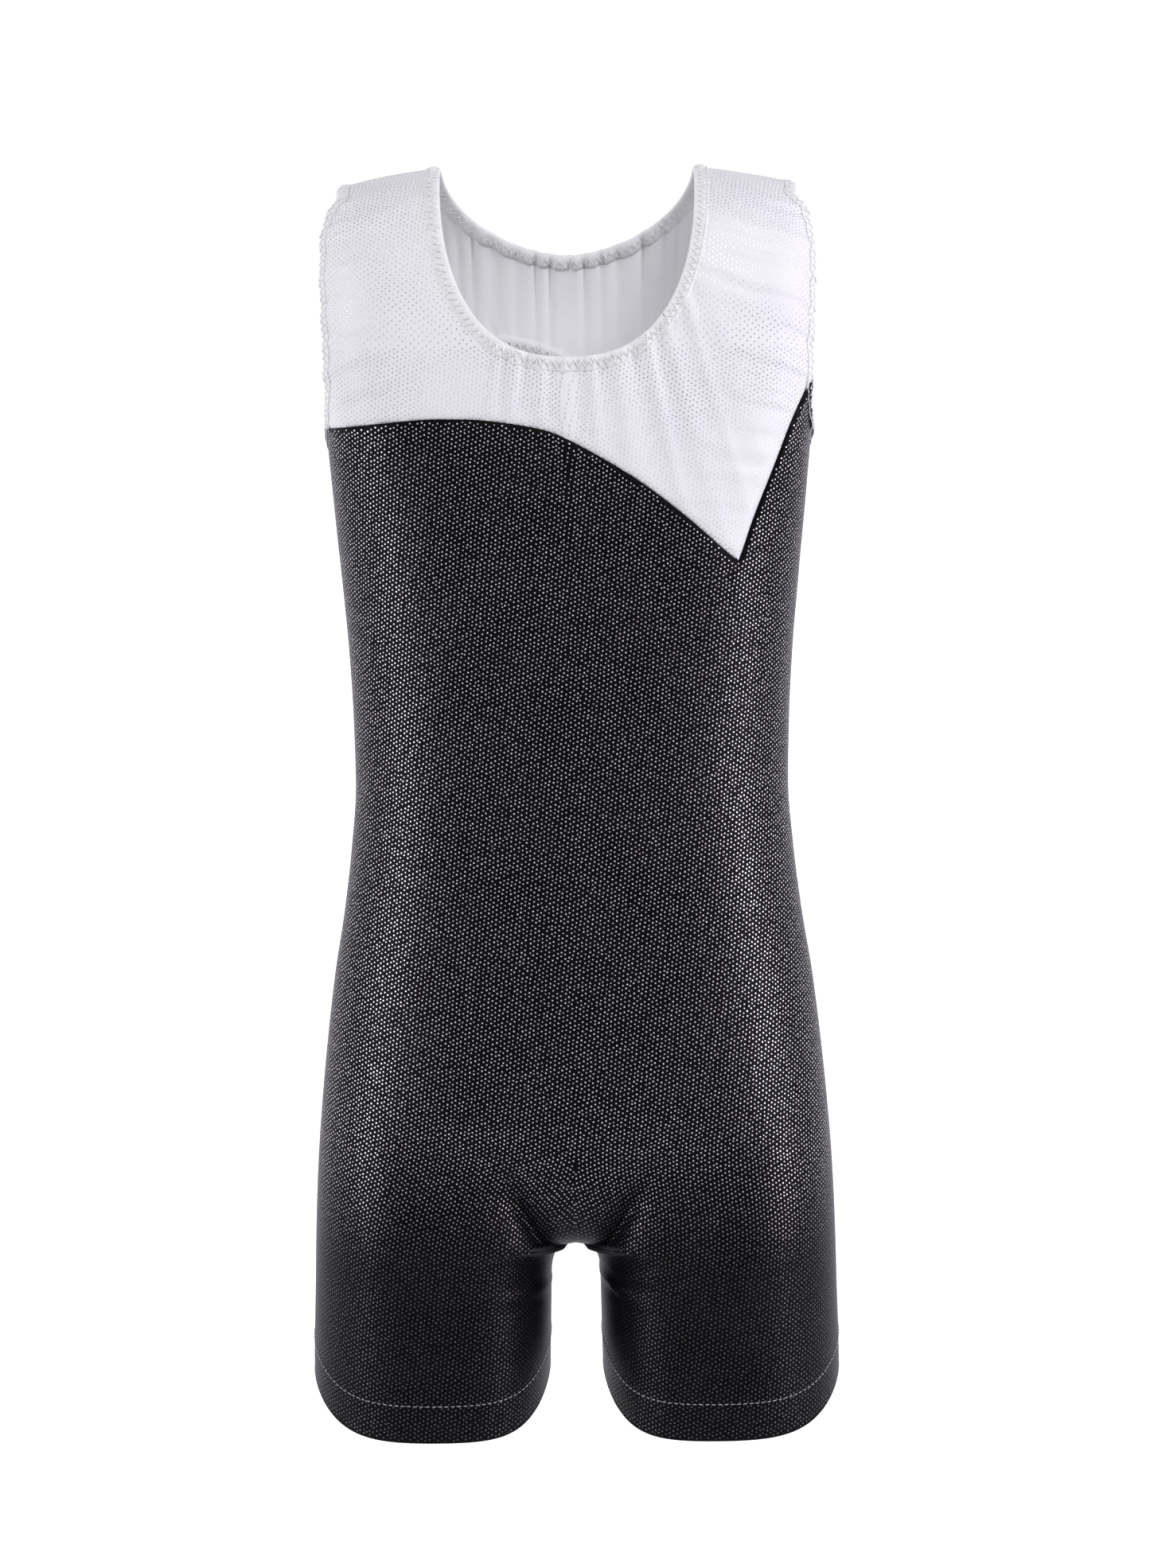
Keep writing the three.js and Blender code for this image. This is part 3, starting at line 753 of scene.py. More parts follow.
def blend_along(tree, axis, low, high, least):
    """A share that grows smoothly from least, below low, to 1, above high, in metres."""
    parts = add_node(tree, "ShaderNodeSeparateXYZ", {0: coordinates(tree)})
    return add_node(tree, "ShaderNodeMapRange", {
        "Value": parts.outputs[axis], "From Min": low, "From Max": high, "To Min": least,
        "To Max": 1.0}, interpolation_type="SMOOTHSTEP").outputs[0]


def knit(name, base, roughness, shades, drift, loops, depth, strength, wrinkle=0.0, **more):
    """A knit cloth whose colour drifts between two shades."""
    material = finish(name, base, roughness, **more)
    mottle(material, *shades, drift)
    knit_bump(material, *loops, depth, strength, wrinkle)
    return material


# %% Finishes of this leotard
black_knit = knit("black foil knit", (0.003, 0.0028, 0.0034), 0.42,
                  ((0.002, 0.0018, 0.0024), (0.0045, 0.004, 0.005)), 40, (0.55, 0.45), 0.04, 0.35,
                  0.25, specular=0.05, sheen=0.12, sheen_tint=(0.62, 0.48, 0.9),
                  sheen_roughness=0.3)
black_inside = knit("black knit inside", (0.016, 0.015, 0.018), 0.7,
                    ((0.012, 0.011, 0.014), (0.022, 0.020, 0.025)), 60, (0.6, 0.5), 0.05, 0.5,
                    specular=0.3)
white_knit = knit("white foil knit", (0.76, 0.755, 0.785), 0.55,
                  ((0.745, 0.738, 0.775), (0.785, 0.782, 0.80)), 30, (0.55, 0.45), 0.05, 0.4, 0.3,
                  specular=0.3)
white_lining_knit = knit("white lining knit", (0.86, 0.858, 0.875), 0.7,
                         ((0.84, 0.838, 0.86), (0.88, 0.88, 0.89)), 25, (0.6, 0.5), 0.05, 0.5,
                         specular=0.3)
band_knit = knit("white edge band", (0.80, 0.798, 0.81), 0.6,
                 ((0.77, 0.767, 0.785), (0.83, 0.828, 0.838)), 120, (0.7, 0.5), 0.06, 0.6,
                 specular=0.3)
silver_foil = finish("silver foil", (0.62, 0.61, 0.63), 0.40, metallic=1.0)
mottle(silver_foil, (0.58, 0.545, 0.60), (1.0, 0.95, 1.0), 900, detail=1.0)


def paint_leg_shade(material, low, high, least):
    """Paints shade onto a finish towards the legs: full colour above high, falling to a share below
    low.
    """
    tree = material.node_tree
    shade = tree.nodes["Principled BSDF"].inputs["Base Color"].links[0].from_socket
    shaded_colour = add_node(tree, "ShaderNodeVectorMath", {
        0: shade, "Scale": blend_along(tree, "Z", low * MM, high * MM, least)}, operation="SCALE")
    drive(material, "Base Color", shaded_colour.outputs[0])


# Painted shade: the silver dots darken towards the legs, standing in for the dimmer light there.
paint_leg_shade(silver_foil, 75, 150, 0.17)
pearl_foil = finish("pearl foil", (0.55, 0.54, 0.62), 0.4, metallic=0.5)
mottle(pearl_foil, (0.32, 0.31, 0.40), (0.80, 0.795, 0.82), 22, detail=1.0)


def thread_finish(name, dark, light, roughness):
    """Twisted thread: its strands are a fine bump."""
    material = finish(name, light, roughness, specular=0.5)
    mottle(material, dark, light, 700, detail=1.0)
    tree = material.node_tree
    strand = add_node(tree, "ShaderNodeTexNoise", {"Vector": coordinates(tree), "Scale": 4000.0})
    drive(material, "Normal", add_bump(tree, 0.4, 0.03, strand.outputs["Fac"]))
    return material


white_thread = thread_finish("white thread", (0.56, 0.555, 0.61), (0.84, 0.835, 0.86), 0.45)
black_thread = thread_finish("black thread", (0.014, 0.013, 0.016), (0.032, 0.03, 0.035), 0.5)
hem_thread = thread_finish("hem thread", (0.30, 0.29, 0.32), (0.52, 0.51, 0.55), 0.4)
label_satin = knit("label satin", (0.82, 0.82, 0.81), 0.32,
                   ((0.79, 0.79, 0.78), (0.85, 0.85, 0.84)), 90, (0.3, 0.25), 0.02, 0.5,
                   specular=0.6)
print(len(bpy.data.materials), "materials")

# %% [markdown]
# ## Cloth panels
# The black body is cut from the form below the yoke seam, the yokes above it. The linings lie just
# inside with folds of their own, and the gusset covers the crotch inside. Each panel is one curved
# sheet with a real thickness. It is stretched over the body, so its cut size is a little smaller
# than what it covers.

# %% Panels
cloth_wall, lining_wall = 0.8, 0.5
body_cell, yoke_cell = 2.5, 1.35
lining_level, lining_share = -1.7, 0.85  # how far inside it lies, and its share of the folds
seam_gap, edge_gap = 0.05, 1.2


def trimmed(field, distance):
    """A field whose line lies a distance farther into the cloth."""
    return lambda p: field(p) - distance


def below_seam(p):
    return -seam_field(p) - seam_gap


arm_fields = [armhole_field(-1), armhole_field(1)]
body_fields = [trimmed(hem_field, 0.3), below_seam, *[trimmed(f, 1.0) for f in arm_fields]]
front_fields = [trimmed(seam_field, seam_gap),
                *[trimmed(f, edge_gap) for f in (neck_field, *arm_fields)]]
yoke_fields = {"front": front_fields, "back": [*front_fields, trimmed(keyhole_field, edge_gap)]}
yoke_low = 380.0
front_body, back_body = [
    panel(f"{face}_body_cloth", face, body_fields, body_cell, bottom_level, arm_level,
          [seam_relief, body_relief, side_dip], [black_knit, black_inside])
    for face in faces_of_form]
front_yoke, back_yoke = [
    panel(f"{face}_yoke_cloth", face, yoke_fields[face], yoke_cell, yoke_low, last_level,
          [seam_relief, yoke_relief, side_dip], [white_knit, white_lining_knit])
    for face in faces_of_form]
front_lining, back_lining = [
    panel(f"{face}_yoke_lining_cloth", face, yoke_fields[face], cell, yoke_low, last_level,
          [lambda p: lining_share * yoke_relief(p)], [white_lining_knit], lining_level)
    for face, cell in zip(faces_of_form, (body_cell, yoke_cell))]
walls = {front_body: cloth_wall, back_body: cloth_wall, front_yoke: cloth_wall,
         back_yoke: cloth_wall, front_lining: lining_wall, back_lining: lining_wall}
for piece in walls:
    print(piece.name, len(piece.data.polygons), "triangles")

# %% [markdown]
# ## Foil dots
# The print is thousands of round foil dots in wavy staggered rows. A Geometry Nodes tree lays a
# lattice in cloth coordinates, looks up each lattice spot on the panel, drops the spots that miss
# it, and sets a small six-sided disc on the rest, square to the cloth.

# %% Node tree helpers
def new_tree(name, **kinds):
    """A tree with inputs, which are given as kind="Title, Title"."""
    tree = bpy.data.node_groups.new(name, "GeometryNodeTree")
    for kind, titles in {"Geometry": "Geometry", **kinds}.items():
        for title in titles.split(", "):
            tree.interface.new_socket(title, in_out="INPUT", socket_type="NodeSocket" + kind)
    tree.interface.new_socket("Geometry", in_out="OUTPUT", socket_type="NodeSocketGeometry")
    return tree, tree.nodes.new("NodeGroupInput").outputs


def end_tree(tree, points, instance, rotation, material, **more):
    """Sets a real copy of the instance, in its material, on every point."""
    copies = add_node(tree, "GeometryNodeInstanceOnPoints", {
        "Points": points, "Instance": instance, "Rotation": rotation, **more})
    real = add_node(tree, "GeometryNodeRealizeInstances", {0: copies})
    dressed = add_node(tree, "GeometryNodeSetMaterial", {"Geometry": real, "Material": material})
    add_node(tree, "NodeGroupOutput", {0: dressed})
    return tree


def grow(piece, tree, settings):
    """Runs a tree on a piece with the given inputs and keeps the result as a plain mesh."""
    modifier = piece.modifiers.new(tree.name, "NODES")
    modifier.node_group = tree
    names = {item.name: item.identifier for item in tree.interface.items_tree
             if item.item_type == "SOCKET" and item.in_out == "INPUT"}
    for title, value in settings.items():
        modifier[names[title]] = value
    bake_modifiers(piece)


# %% The tree of the dots
def dot_tree():
    """Staggers a lattice, turns and wanders it, and sets a disc wherever it meets the cloth."""
    tree, inputs = new_tree(
        "foil dots", Int="Columns, Rows, Seed", Material="Material",
        Float="Width, Height, Middle Height, Dot Radius, Wander, Lift, Slant")
    width, height = inputs["Width"], inputs["Height"]
    lattice = add_node(tree, "GeometryNodeMeshGrid", {
        "Size X": width, "Size Y": height, "Vertices X": inputs["Columns"],
        "Vertices Y": inputs["Rows"]})
    spot = add_node(tree, "GeometryNodeInputPosition").outputs[0]
    y = add_node(tree, "ShaderNodeSeparateXYZ", {0: spot}).outputs["Y"]
    row_step = calc(tree, "DIVIDE", height, calc(tree, "SUBTRACT", inputs["Rows"], 1.0))
    row = calc(tree, "ROUND", calc(
        tree, "DIVIDE", calc(tree, "MULTIPLY_ADD", height, 0.5, y), row_step))
    half_step = calc(tree, "MULTIPLY", calc(tree, "DIVIDE", width, inputs["Columns"]), 0.5)
    shift = calc(tree, "MULTIPLY", calc(tree, "FLOORED_MODULO", row, 2.0), half_step)

    def vector_calc(operation, *values):
        return calc(tree, operation, *values, kind="ShaderNodeVectorMath")

    stagger = add_node(tree, "ShaderNodeCombineXYZ", {"X": shift}).outputs[0]
    slanted = add_node(tree, "ShaderNodeVectorRotate", {
        "Vector": vector_calc("ADD", spot, stagger), "Angle": inputs["Slant"]},
        rotation_type="Z_AXIS").outputs[0]
    centre = add_node(tree, "ShaderNodeCombineXYZ", {"Y": inputs["Middle Height"]}).outputs[0]
    drift = add_node(tree, "ShaderNodeTexNoise", {
        "Vector": spot, "Scale": 190.0, "Detail": 3.0, "Roughness": 0.75}).outputs["Color"]
    drifting = add_node(tree, "ShaderNodeVectorMath", {
        0: vector_calc("SUBTRACT", drift, (0.5, 0.5, 0.5)), "Scale": inputs["Wander"]},
        operation="SCALE").outputs[0]
    cloth_spot = vector_calc("ADD", vector_calc("ADD", slanted, centre), drifting)
    cloth_map = add_node(tree, "GeometryNodeInputNamedAttribute", {"Name": "UVMap"},
                         data_type="FLOAT_VECTOR").outputs["Attribute"]
    found, facing = [add_node(tree, "GeometryNodeSampleUVSurface", {
        "Mesh": inputs["Geometry"], "Value": add_node(tree, kind), "Source UV Map": cloth_map,
        "Sample UV": cloth_spot}, data_type="FLOAT_VECTOR")
        for kind in ("GeometryNodeInputPosition", "GeometryNodeInputNormal")]
    facing = facing.outputs["Value"]
    kept = lattice
    for name, value, kind in (("facing", facing, "FLOAT_VECTOR"),
                              ("hit", found.outputs["Is Valid"], "BOOLEAN")):
        kept = add_node(tree, "GeometryNodeStoreNamedAttribute", {
            "Geometry": kept, "Name": name, "Value": value}, data_type=kind, domain="POINT")
    lift = add_node(tree, "ShaderNodeVectorMath", {0: facing, "Scale": inputs["Lift"]},
                    operation="SCALE").outputs[0]
    laid = add_node(tree, "GeometryNodeSetPosition", {
        "Geometry": kept, "Position": vector_calc("ADD", found.outputs["Value"], lift)})
    hit, stored = [add_node(tree, "GeometryNodeInputNamedAttribute", {"Name": name},
                            data_type=kind).outputs["Attribute"]
                   for name, kind in (("hit", "BOOLEAN"), ("facing", "FLOAT_VECTOR"))]
    missed = add_node(tree, "FunctionNodeBooleanMath", {0: hit}, operation="NOT")
    points = add_node(tree, "GeometryNodeDeleteGeometry", {
        "Geometry": laid, "Selection": missed}, domain="POINT")
    disc = add_node(tree, "GeometryNodeMeshCircle", {
        "Vertices": 6, "Radius": inputs["Dot Radius"]}, fill_type="NGON")
    turn = add_node(tree, "FunctionNodeAlignRotationToVector", {"Vector": stored}, axis="Z")
    size = add_node(tree, "FunctionNodeRandomValue", {2: 0.82, 3: 1.12, "Seed": inputs["Seed"]})
    return end_tree(tree, points, disc, turn, inputs["Material"], Scale=size.outputs[1])


foil_dots = dot_tree()


def half_panel(name, cloth, side):
    """A copy of the wearer's right half, -1, or left half, 1, of a panel."""
    half = add_object(name, cloth.data.copy())
    delete_faces(half, lambda middle: middle.x * side < 0)
    return half


def print_dots(name, cloth, radius, material, seed):
    """Prints dots on a panel that has no thickness yet. Sizes are in millimetres."""
    uv = np.empty(len(cloth.data.loops) * 2)
    cloth.data.uv_layers["UVMap"].data.foreach_get("uv", uv)
    uv = uv.reshape(-1, 2)
    reach, low, high = np.abs(uv[:, 0]).max(), uv[:, 1].min(), uv[:, 1].max()
    across = 2 * reach * math.cos(dot_slant) + (high - low) * math.sin(dot_slant)
    along = (high - low) * math.cos(dot_slant) + 2 * reach * math.sin(dot_slant)
    halves = [half_panel(f"{name}_{side}", cloth, side) for side in (-1, 1)]
    for half in halves:
        grow(half, foil_dots, {
            "Width": across, "Height": along, "Middle Height": (high + low) / 2,
            "Columns": int(across / (dot_pitch * MM)), "Rows": int(along / (dot_row_gap * MM)),
            "Dot Radius": radius * MM, "Wander": dot_wander * MM, "Lift": dot_lift * MM,
            "Slant": dot_slant, "Seed": seed, "Material": material})
    return join(name, halves)


def clear_dots(dots, line):
    """Takes away the dots that are too near a seam, where the cloth is rolled."""
    seam = KDTree(len(line))
    for i, place in enumerate(placed(line[:, :3])):
        seam.insert(place, i)
    seam.balance()
    delete_faces(dots, lambda middle: seam.find(middle)[2] < clear_of_seam * MM)


dot_pitch, dot_wander, dot_lift, clear_of_seam = 2.08, 2.6, 0.06, 1.3
dot_row_gap, dot_slant = dot_pitch * 0.87, 0.42  # staggered rows lie closer, and run at a slant
front_dots, back_dots, front_pearls, back_pearls = dots = [
    print_dots(cloth.name.replace("cloth", "dots"), cloth, radius, foil, seed)
    for seed, (cloth, radius, foil) in enumerate((
        (front_body, 0.39, silver_foil), (back_body, 0.39, silver_foil),
        (front_yoke, 0.38, pearl_foil), (back_yoke, 0.38, pearl_foil)), 1)]
for piece, face in zip(dots, faces_of_form):
    clear_dots(piece, outline(seam_field, faces=(face,), step=0.5, closed=False))
for piece in dots:
    print(piece.name, len(piece.data.polygons), "dots")

# %% Thickness of the panels
for piece, wall in walls.items():
    thicken(piece, wall, 1 if wall == cloth_wall else 0)

# %% [markdown]
# ## Gusset
# A small lining lies inside the crotch, from front to back between the legs.

# %% Gusset
gusset_half, gusset_top = 26.0, 133.0


def gusset_field(p):
    """Positive within a strip between the legs, up to a level."""
    return np.minimum(gusset_half - np.abs(p[:, 0]), gusset_top - p[:, 2])


gusset = join("crotch_gusset_cloth", [
    panel("gusset_" + face, face, [gusset_field, trimmed(hem_field, hem_depth + 1)], 3.0,
          bottom_level, 140.0, [], [black_inside], -1.6)
    for face in faces_of_form])
weld(gusset)
thicken(gusset, lining_wall)
print(gusset.name, len(gusset.data.polygons), "faces")

# %% [markdown]
# ## Turned edges
# At the neck, the armholes and the keyhole the cloth is turned over a 7 mm elastic and stitched
# down. The strip runs from inside, round the fold, to the stitching outside, and small ribs stand
# across it where the elastic gathers it. The leg hems are turned up 17 mm inside.

# %% Edge bands
band_width = 7.0
band_profile = [
    (band_width, -2.5, 1), (band_width * 0.7, -2.75, 0.8), (band_width * 0.4, -2.75, 0.6),
    (1.6, -2.65, 0.5), (0.4, -2.2, 0.4), (-0.1, -1.4, 0.4), (-0.05, -0.6, 0.4), (0.5, 0.0, 0.45),
    (1.4, 0.3, 0.5), (2.8, 0.4, 0.6), (4.4, 0.4, 0.75), (5.6, 0.25, 0.9), (6.3, 0.1, 1),
    (band_width, -0.2, 1)]


def colour_below_seam(piece, black):
    """An edge and its thread have the colour of their panel, so below the yoke seam they are
    black."""
    piece.data.materials.append(black)
    centres = np.empty(len(piece.data.polygons) * 3)
    piece.data.polygons.foreach_get("center", centres)
    place = centres.reshape(-1, 3) / MM - [0, seam_plane, lowest_hem]
    piece.data.polygons.foreach_set("material_index", (seam_field(place) < 0).astype(np.int32))


openings = {
    "neck": (neck_field, {}),
    "right_armhole": (arm_fields[0], {"sides": (-1,)}),
    "left_armhole": (arm_fields[1], {"sides": (1,)}),
    "keyhole": (keyhole_field, {"faces": ("back",)}),
}
edges = {name: outline(field, **where) for name, (field, where) in openings.items()}
bands = {}
for seed, (name, line) in enumerate(edges.items()):
    rib_height = 0.35 if "armhole" in name else 0.75
    bands[name] = edge_band(f"{name}_band", line, openings[name][0], band_profile, band_knit,
                            yoke_relief, ribs=(rib_height, 2.4, seed))
    colour_below_seam(bands[name], black_knit)
    print(bands[name].name, len(line), "steps", len(bands[name].data.polygons), "faces")

# %% Leg hems
hem_profile = [(hem_depth, -1.45, 0), (hem_depth * 0.7, -1.5, 0), (hem_depth * 0.35, -1.5, 0),
               (2.0, -1.5, 0), (0.5, -1.3, 0), (-0.1, -0.8, 0), (-0.1, -0.3, 0), (0.35, 0.06, 0),
               (0.9, 0.1, 0), (1.4, -0.1, 0)]
hem_lines = [outline(hem_field, sides=(side,)) for side in (-1, 1)]
hems = [edge_band(f"{word}_hem_turning", line, hem_field, hem_profile, black_knit, thickness=0.4)
        for word, line in zip(("right", "left"), hem_lines)]
print([len(line) for line in hem_lines], "steps round the hems")

# %% [markdown]
# ## Stitches
# A stitch is a short arch of thread. The tree sets arches along a line at an even pitch, straight
# for a topstitch or turned left and right for a zigzag. Each line keeps the direction in which it
# faces, so stitches can be on the outside or the inside of the cloth.

# %% The tree of the stitches
def stitch_tree():
    """Sets arches of thread along a line, turned alternately to the left and the right."""
    tree, inputs = new_tree("stitch row", Float="Pitch, Stitch Length, Thread Radius, Turn, Rise",
                            Material="Material")
    line = add_node(tree, "GeometryNodeMeshToCurve", {"Mesh": inputs["Geometry"]})
    steps = add_node(tree, "GeometryNodeResampleCurve", {
        "Curve": line, "Length": inputs["Pitch"]}, mode="LENGTH")
    left, right = [add_node(tree, "ShaderNodeCombineXYZ", {
        "X": calc(tree, "MULTIPLY", inputs["Stitch Length"], half)}) for half in (-0.5, 0.5)]
    top = add_node(tree, "ShaderNodeCombineXYZ", {"Z": inputs["Rise"]})
    arch = add_node(tree, "GeometryNodeCurveQuadraticBezier", {
        "Resolution": 3, "Start": left, "Middle": top, "End": right})
    ring = add_node(tree, "GeometryNodeCurvePrimitiveCircle", {
        "Resolution": 5, "Radius": inputs["Thread Radius"]})
    thread = add_node(tree, "GeometryNodeCurveToMesh", {
        "Curve": arch, "Profile Curve": ring, "Fill Caps": True})
    out = add_node(tree, "GeometryNodeInputNamedAttribute", {"Name": "out"},
                   data_type="FLOAT_VECTOR").outputs["Attribute"]
    ahead = add_node(tree, "FunctionNodeAlignRotationToVector", {
        "Vector": add_node(tree, "GeometryNodeInputTangent")}, axis="X")
    upright = add_node(tree, "FunctionNodeAlignRotationToVector", {
        "Rotation": ahead, "Vector": out}, axis="Z", pivot_axis="X")
    index = add_node(tree, "GeometryNodeInputIndex").outputs[0]
    swing = calc(tree, "MULTIPLY_ADD", calc(tree, "FLOORED_MODULO", index, 2.0), 2.0, -1.0)
    twist = add_node(tree, "FunctionNodeAxisAngleToRotation", {
        "Axis": (0, 0, 1), "Angle": calc(tree, "MULTIPLY", swing, inputs["Turn"])})
    turned = add_node(tree, "FunctionNodeRotateRotation", {
        "Rotation": upright, "Rotate By": twist}, rotation_space="LOCAL")
    return end_tree(tree, steps, thread, turned, inputs["Material"])


stitch_row = stitch_tree()


def sew(name, lines, lift, material, pitch=2.5, length=2.1, turn=0.0, radius=0.2, rise=0.3,
        relief=None, closed=True, inside=False):
    """Sews rows of stitches along lines, lifted off the form by lift millimetres."""
    points, pairs, out, start = [], [], [], 0
    for line in lines:
        height = lift + (relief(line[:, :3]) if relief else np.zeros(len(line)))
        points.append(line[:, :3] + line[:, 3:6] * height[:, None])
        out.append(-line[:, 3:6] if inside else line[:, 3:6])
        count = len(line)
        pairs += [(start + i, start + (i + 1) % count)
                  for i in range(count if closed else count - 1)]
        start += count
    mesh = bpy.data.meshes.new(name)
    mesh.from_pydata(placed(np.concatenate(points)).tolist(), pairs, [])
    mesh.attributes.new("out", "FLOAT_VECTOR", "POINT").data.foreach_set(
        "vector", np.concatenate(out).ravel())
    piece = add_object(name, mesh)
    grow(piece, stitch_row, {"Pitch": pitch * MM, "Stitch Length": length * MM, "Turn": turn,
                             "Thread Radius": radius * MM, "Rise": rise * MM,
                             "Material": material})
    return piece


# %% Stitches of the openings
edge_threads = {}
for name, (field, where) in openings.items():
    row, middle = outline(field, 6.0, **where), outline(field, 3.4, **where)
    stand = 0.5 if "armhole" in name else 1  # armhole thread lies flatter than neck thread
    edge_threads[name] = [
        sew(f"{name}_topstitch", [row], 0.4, white_thread, 2.4, 1.9, radius=0.24,
            relief=yoke_relief),
        sew(f"{name}_zigzag", [middle], 0.75, white_thread, 1.7, 3.8, turn=1.0,
            radius=0.28 * stand**0.5, relief=lambda p: 0.7 * yoke_relief(p), rise=0.6 * stand),
        sew(f"{name}_zigzag_inside", [middle], -3.05, white_thread, 1.9, 3.6, turn=0.95,
            relief=lambda p: 0.6 * yoke_relief(p), inside=True, rise=0.35)]
    for piece in edge_threads[name]:
        colour_below_seam(piece, black_thread)
    print(name, [len(piece.data.polygons) for piece in edge_threads[name]], "faces of thread")

# %% Coverstitch of the leg hems
hem_threads = []
for word, side, hem in zip(("right", "left"), (-1, 1), hems):
    rows = [outline(hem_field, hem_depth, sides=(side,))]
    outside = sew(f"{word}_hem_topstitch", rows, 0.12, hem_thread, 2.9, 1.6, radius=0.2, rise=0.35)
    middle = outline(hem_field, hem_depth - 1.6, sides=(side,))
    inside = sew(f"{word}_hem_cover_inside", [middle], -2.1, black_thread, 1.8, 4.0, turn=0.9,
                 inside=True, rise=0.35)
    hem_threads.append((outside, inside))
print([len(a.data.polygons) + len(b.data.polygons) for a, b in hem_threads], "faces of hem thread")

# %% [markdown]
# ## Seams inside
# Panels are joined by overlock seams. Inside, each is a narrow ridge of zigzag thread between two
# rows along both sides, across the shoulders and under the yokes; along the inseam it is the zigzag
# alone.

# %% Seam lines
def level_line(low, high, share, side):
    """A line up the form at a constant share, such as the side seam."""
    levels = np.arange(low, high, 1.0)
    line = np.zeros((len(levels), 8))
    shares = np.full(len(levels), share)
    line[:, :3] = sum(worn_point(face, shares, levels) for face in faces_of_form) / 2
    line[:, 3] = 1 if share > 0.5 else -1
    line[:, [0, 3]] *= side
    return line


def shoulder_line(side):
    """The line over a shoulder, from neck to arm."""
    x = np.linspace(neck_half_width + 8, shoulder_half_width - 8, 32)
    line = np.zeros((len(x), 8))
    line[:, 0], line[:, 2], line[:, 5] = side * x, shoulder_height(x), 1
    return line


def yoke_line(face):
    """The yoke seam between the armholes, run on the form."""
    def clear(p):
        return (arm_fields[0](p) > 9) & (arm_fields[1](p) > 9)
    return outline(seam_field, 0.8, faces=(face,), closed=False, keep=clear)


def overlock(name, line, depth, material, node):
    """Rails and zigzag of an overlock seam inside the cloth, as one piece."""
    rails = [line.copy(), line.copy()]
    for rail, offset in zip(rails, (-2.0, 2.0)):
        rail[:, :3] += sideways(line, False) * offset
    parts = [
        sew(name + "_zigzag", [line], -depth - 0.15, material, 1.5, 4.2, turn=1.15, radius=0.17,
            closed=False, inside=True, rise=0.45),
        sew(name + "_rails", rails, -depth - 0.1, material, 1.6, 1.8, radius=0.17, closed=False,
            inside=True, rise=0.3)]
    piece = join(name, parts)
    declare(piece, material.name.replace(" ", "_"), node)
    return piece


hem_top = hem_side + hem_depth + 1
for word, side in (("right", -1), ("left", 1)):
    overlock(f"{word}_side_overlock", level_line(hem_top, armhole_bottom - 18, 1.0, side), 1.6,
             black_thread, f"{word}_side_seam")
    overlock(f"{word}_shoulder_overlock", shoulder_line(side), 2.5, white_thread,
             f"{word}_shoulder_seam")
for face in faces_of_form:
    overlock(f"{face}_yoke_overlock", yoke_line(face), 2.9, black_thread, f"{face}_yoke_seam")
inseam_lines = [level_line(hem_top + 3, crotch - 9, 0.0, side) for side in (-1, 1)]
inseam_parts = [sew(f"inseam_{i}", [line], -3.0, black_thread, 1.5, 3.6, turn=1.1, radius=0.17,
                    closed=False, inside=True, rise=0.4) for i, line in enumerate(inseam_lines)]
inseam = join("inseam_overlock", inseam_parts)
declare(inseam, "black_thread", "inseam")

# %% [markdown]
# ## Care label
# A blank satin tab is caught in the left side seam. It turns about its sewn edge, so it rides on
# the label's own body. The tab is one loop of ribbon with a fold at its free end and a row of
# stitches at the seam.

# %% Label
label_low, label_high = [np.array(corner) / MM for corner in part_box("care_label")]
label_angle, label_length = math.radians(31), 42.0
hinge = np.array([label_high[0], label_low[1] - seam_plane, 0])
reach = np.array([-math.sin(label_angle), math.cos(label_angle), 0])
facing = np.array([math.cos(label_angle), math.sin(label_angle), 0])
label_mid, label_half = (label_low[2] + label_high[2]) / 2 - lowest_hem, 14.6


def label_sheet():
    """Two layers of ribbon from the seam to a rounded fold at the free end and back."""
    out = np.linspace(0.4, label_length - 1.2, 22)
    turn = np.linspace(-90, 90, 9)[1:-1] * math.pi / 180
    reach_at = np.concatenate([out, out[-1] + 0.35 * np.cos(turn), out[::-1]])
    height_at = np.concatenate([-0.35 + 0 * out, 0.35 * np.sin(turn), 0.35 + 0 * out])
    across = np.linspace(-label_half, label_half, 18)
    grid_reach, grid_z = np.meshgrid(reach_at, across)
    grid_height = np.broadcast_to(height_at, grid_reach.shape)
    curl = 0.35 * np.sin(grid_reach / 11) * (grid_reach / label_length)
    curl = curl + 0.25 * np.cos(grid_z / 7) * (grid_reach / label_length)
    points = (hinge + reach * grid_reach[..., None] + facing * (grid_height + curl)[..., None]
              + np.array([0, 0, 1]) * (label_mid + grid_z)[..., None])
    rows, count = grid_reach.shape
    uv = np.stack([grid_reach, grid_z], -1).reshape(-1, 2) * MM
    return points.reshape(-1, 3), grid_faces(rows, count)[:, [0, 3, 2, 1]], uv


points, faces, uv = label_sheet()
label = mesh_object("care_label_ribbon", points, faces, [label_satin], uv)
thicken(label, 0.15)
declare(label, "label_satin", "care_label", body="care_label")
label_row = np.zeros((27, 8))
label_row[:, :3] = hinge + reach * 4 + facing * 0.75
label_row[:, 2] = label_mid + np.linspace(-13, 13, 27)
label_row[:, 3:6] = facing
label_stitches = sew("care_label_stitches", [label_row], 0, white_thread, 2.4, 1.9, closed=False)
declare(label_stitches, "white_thread", body="care_label")
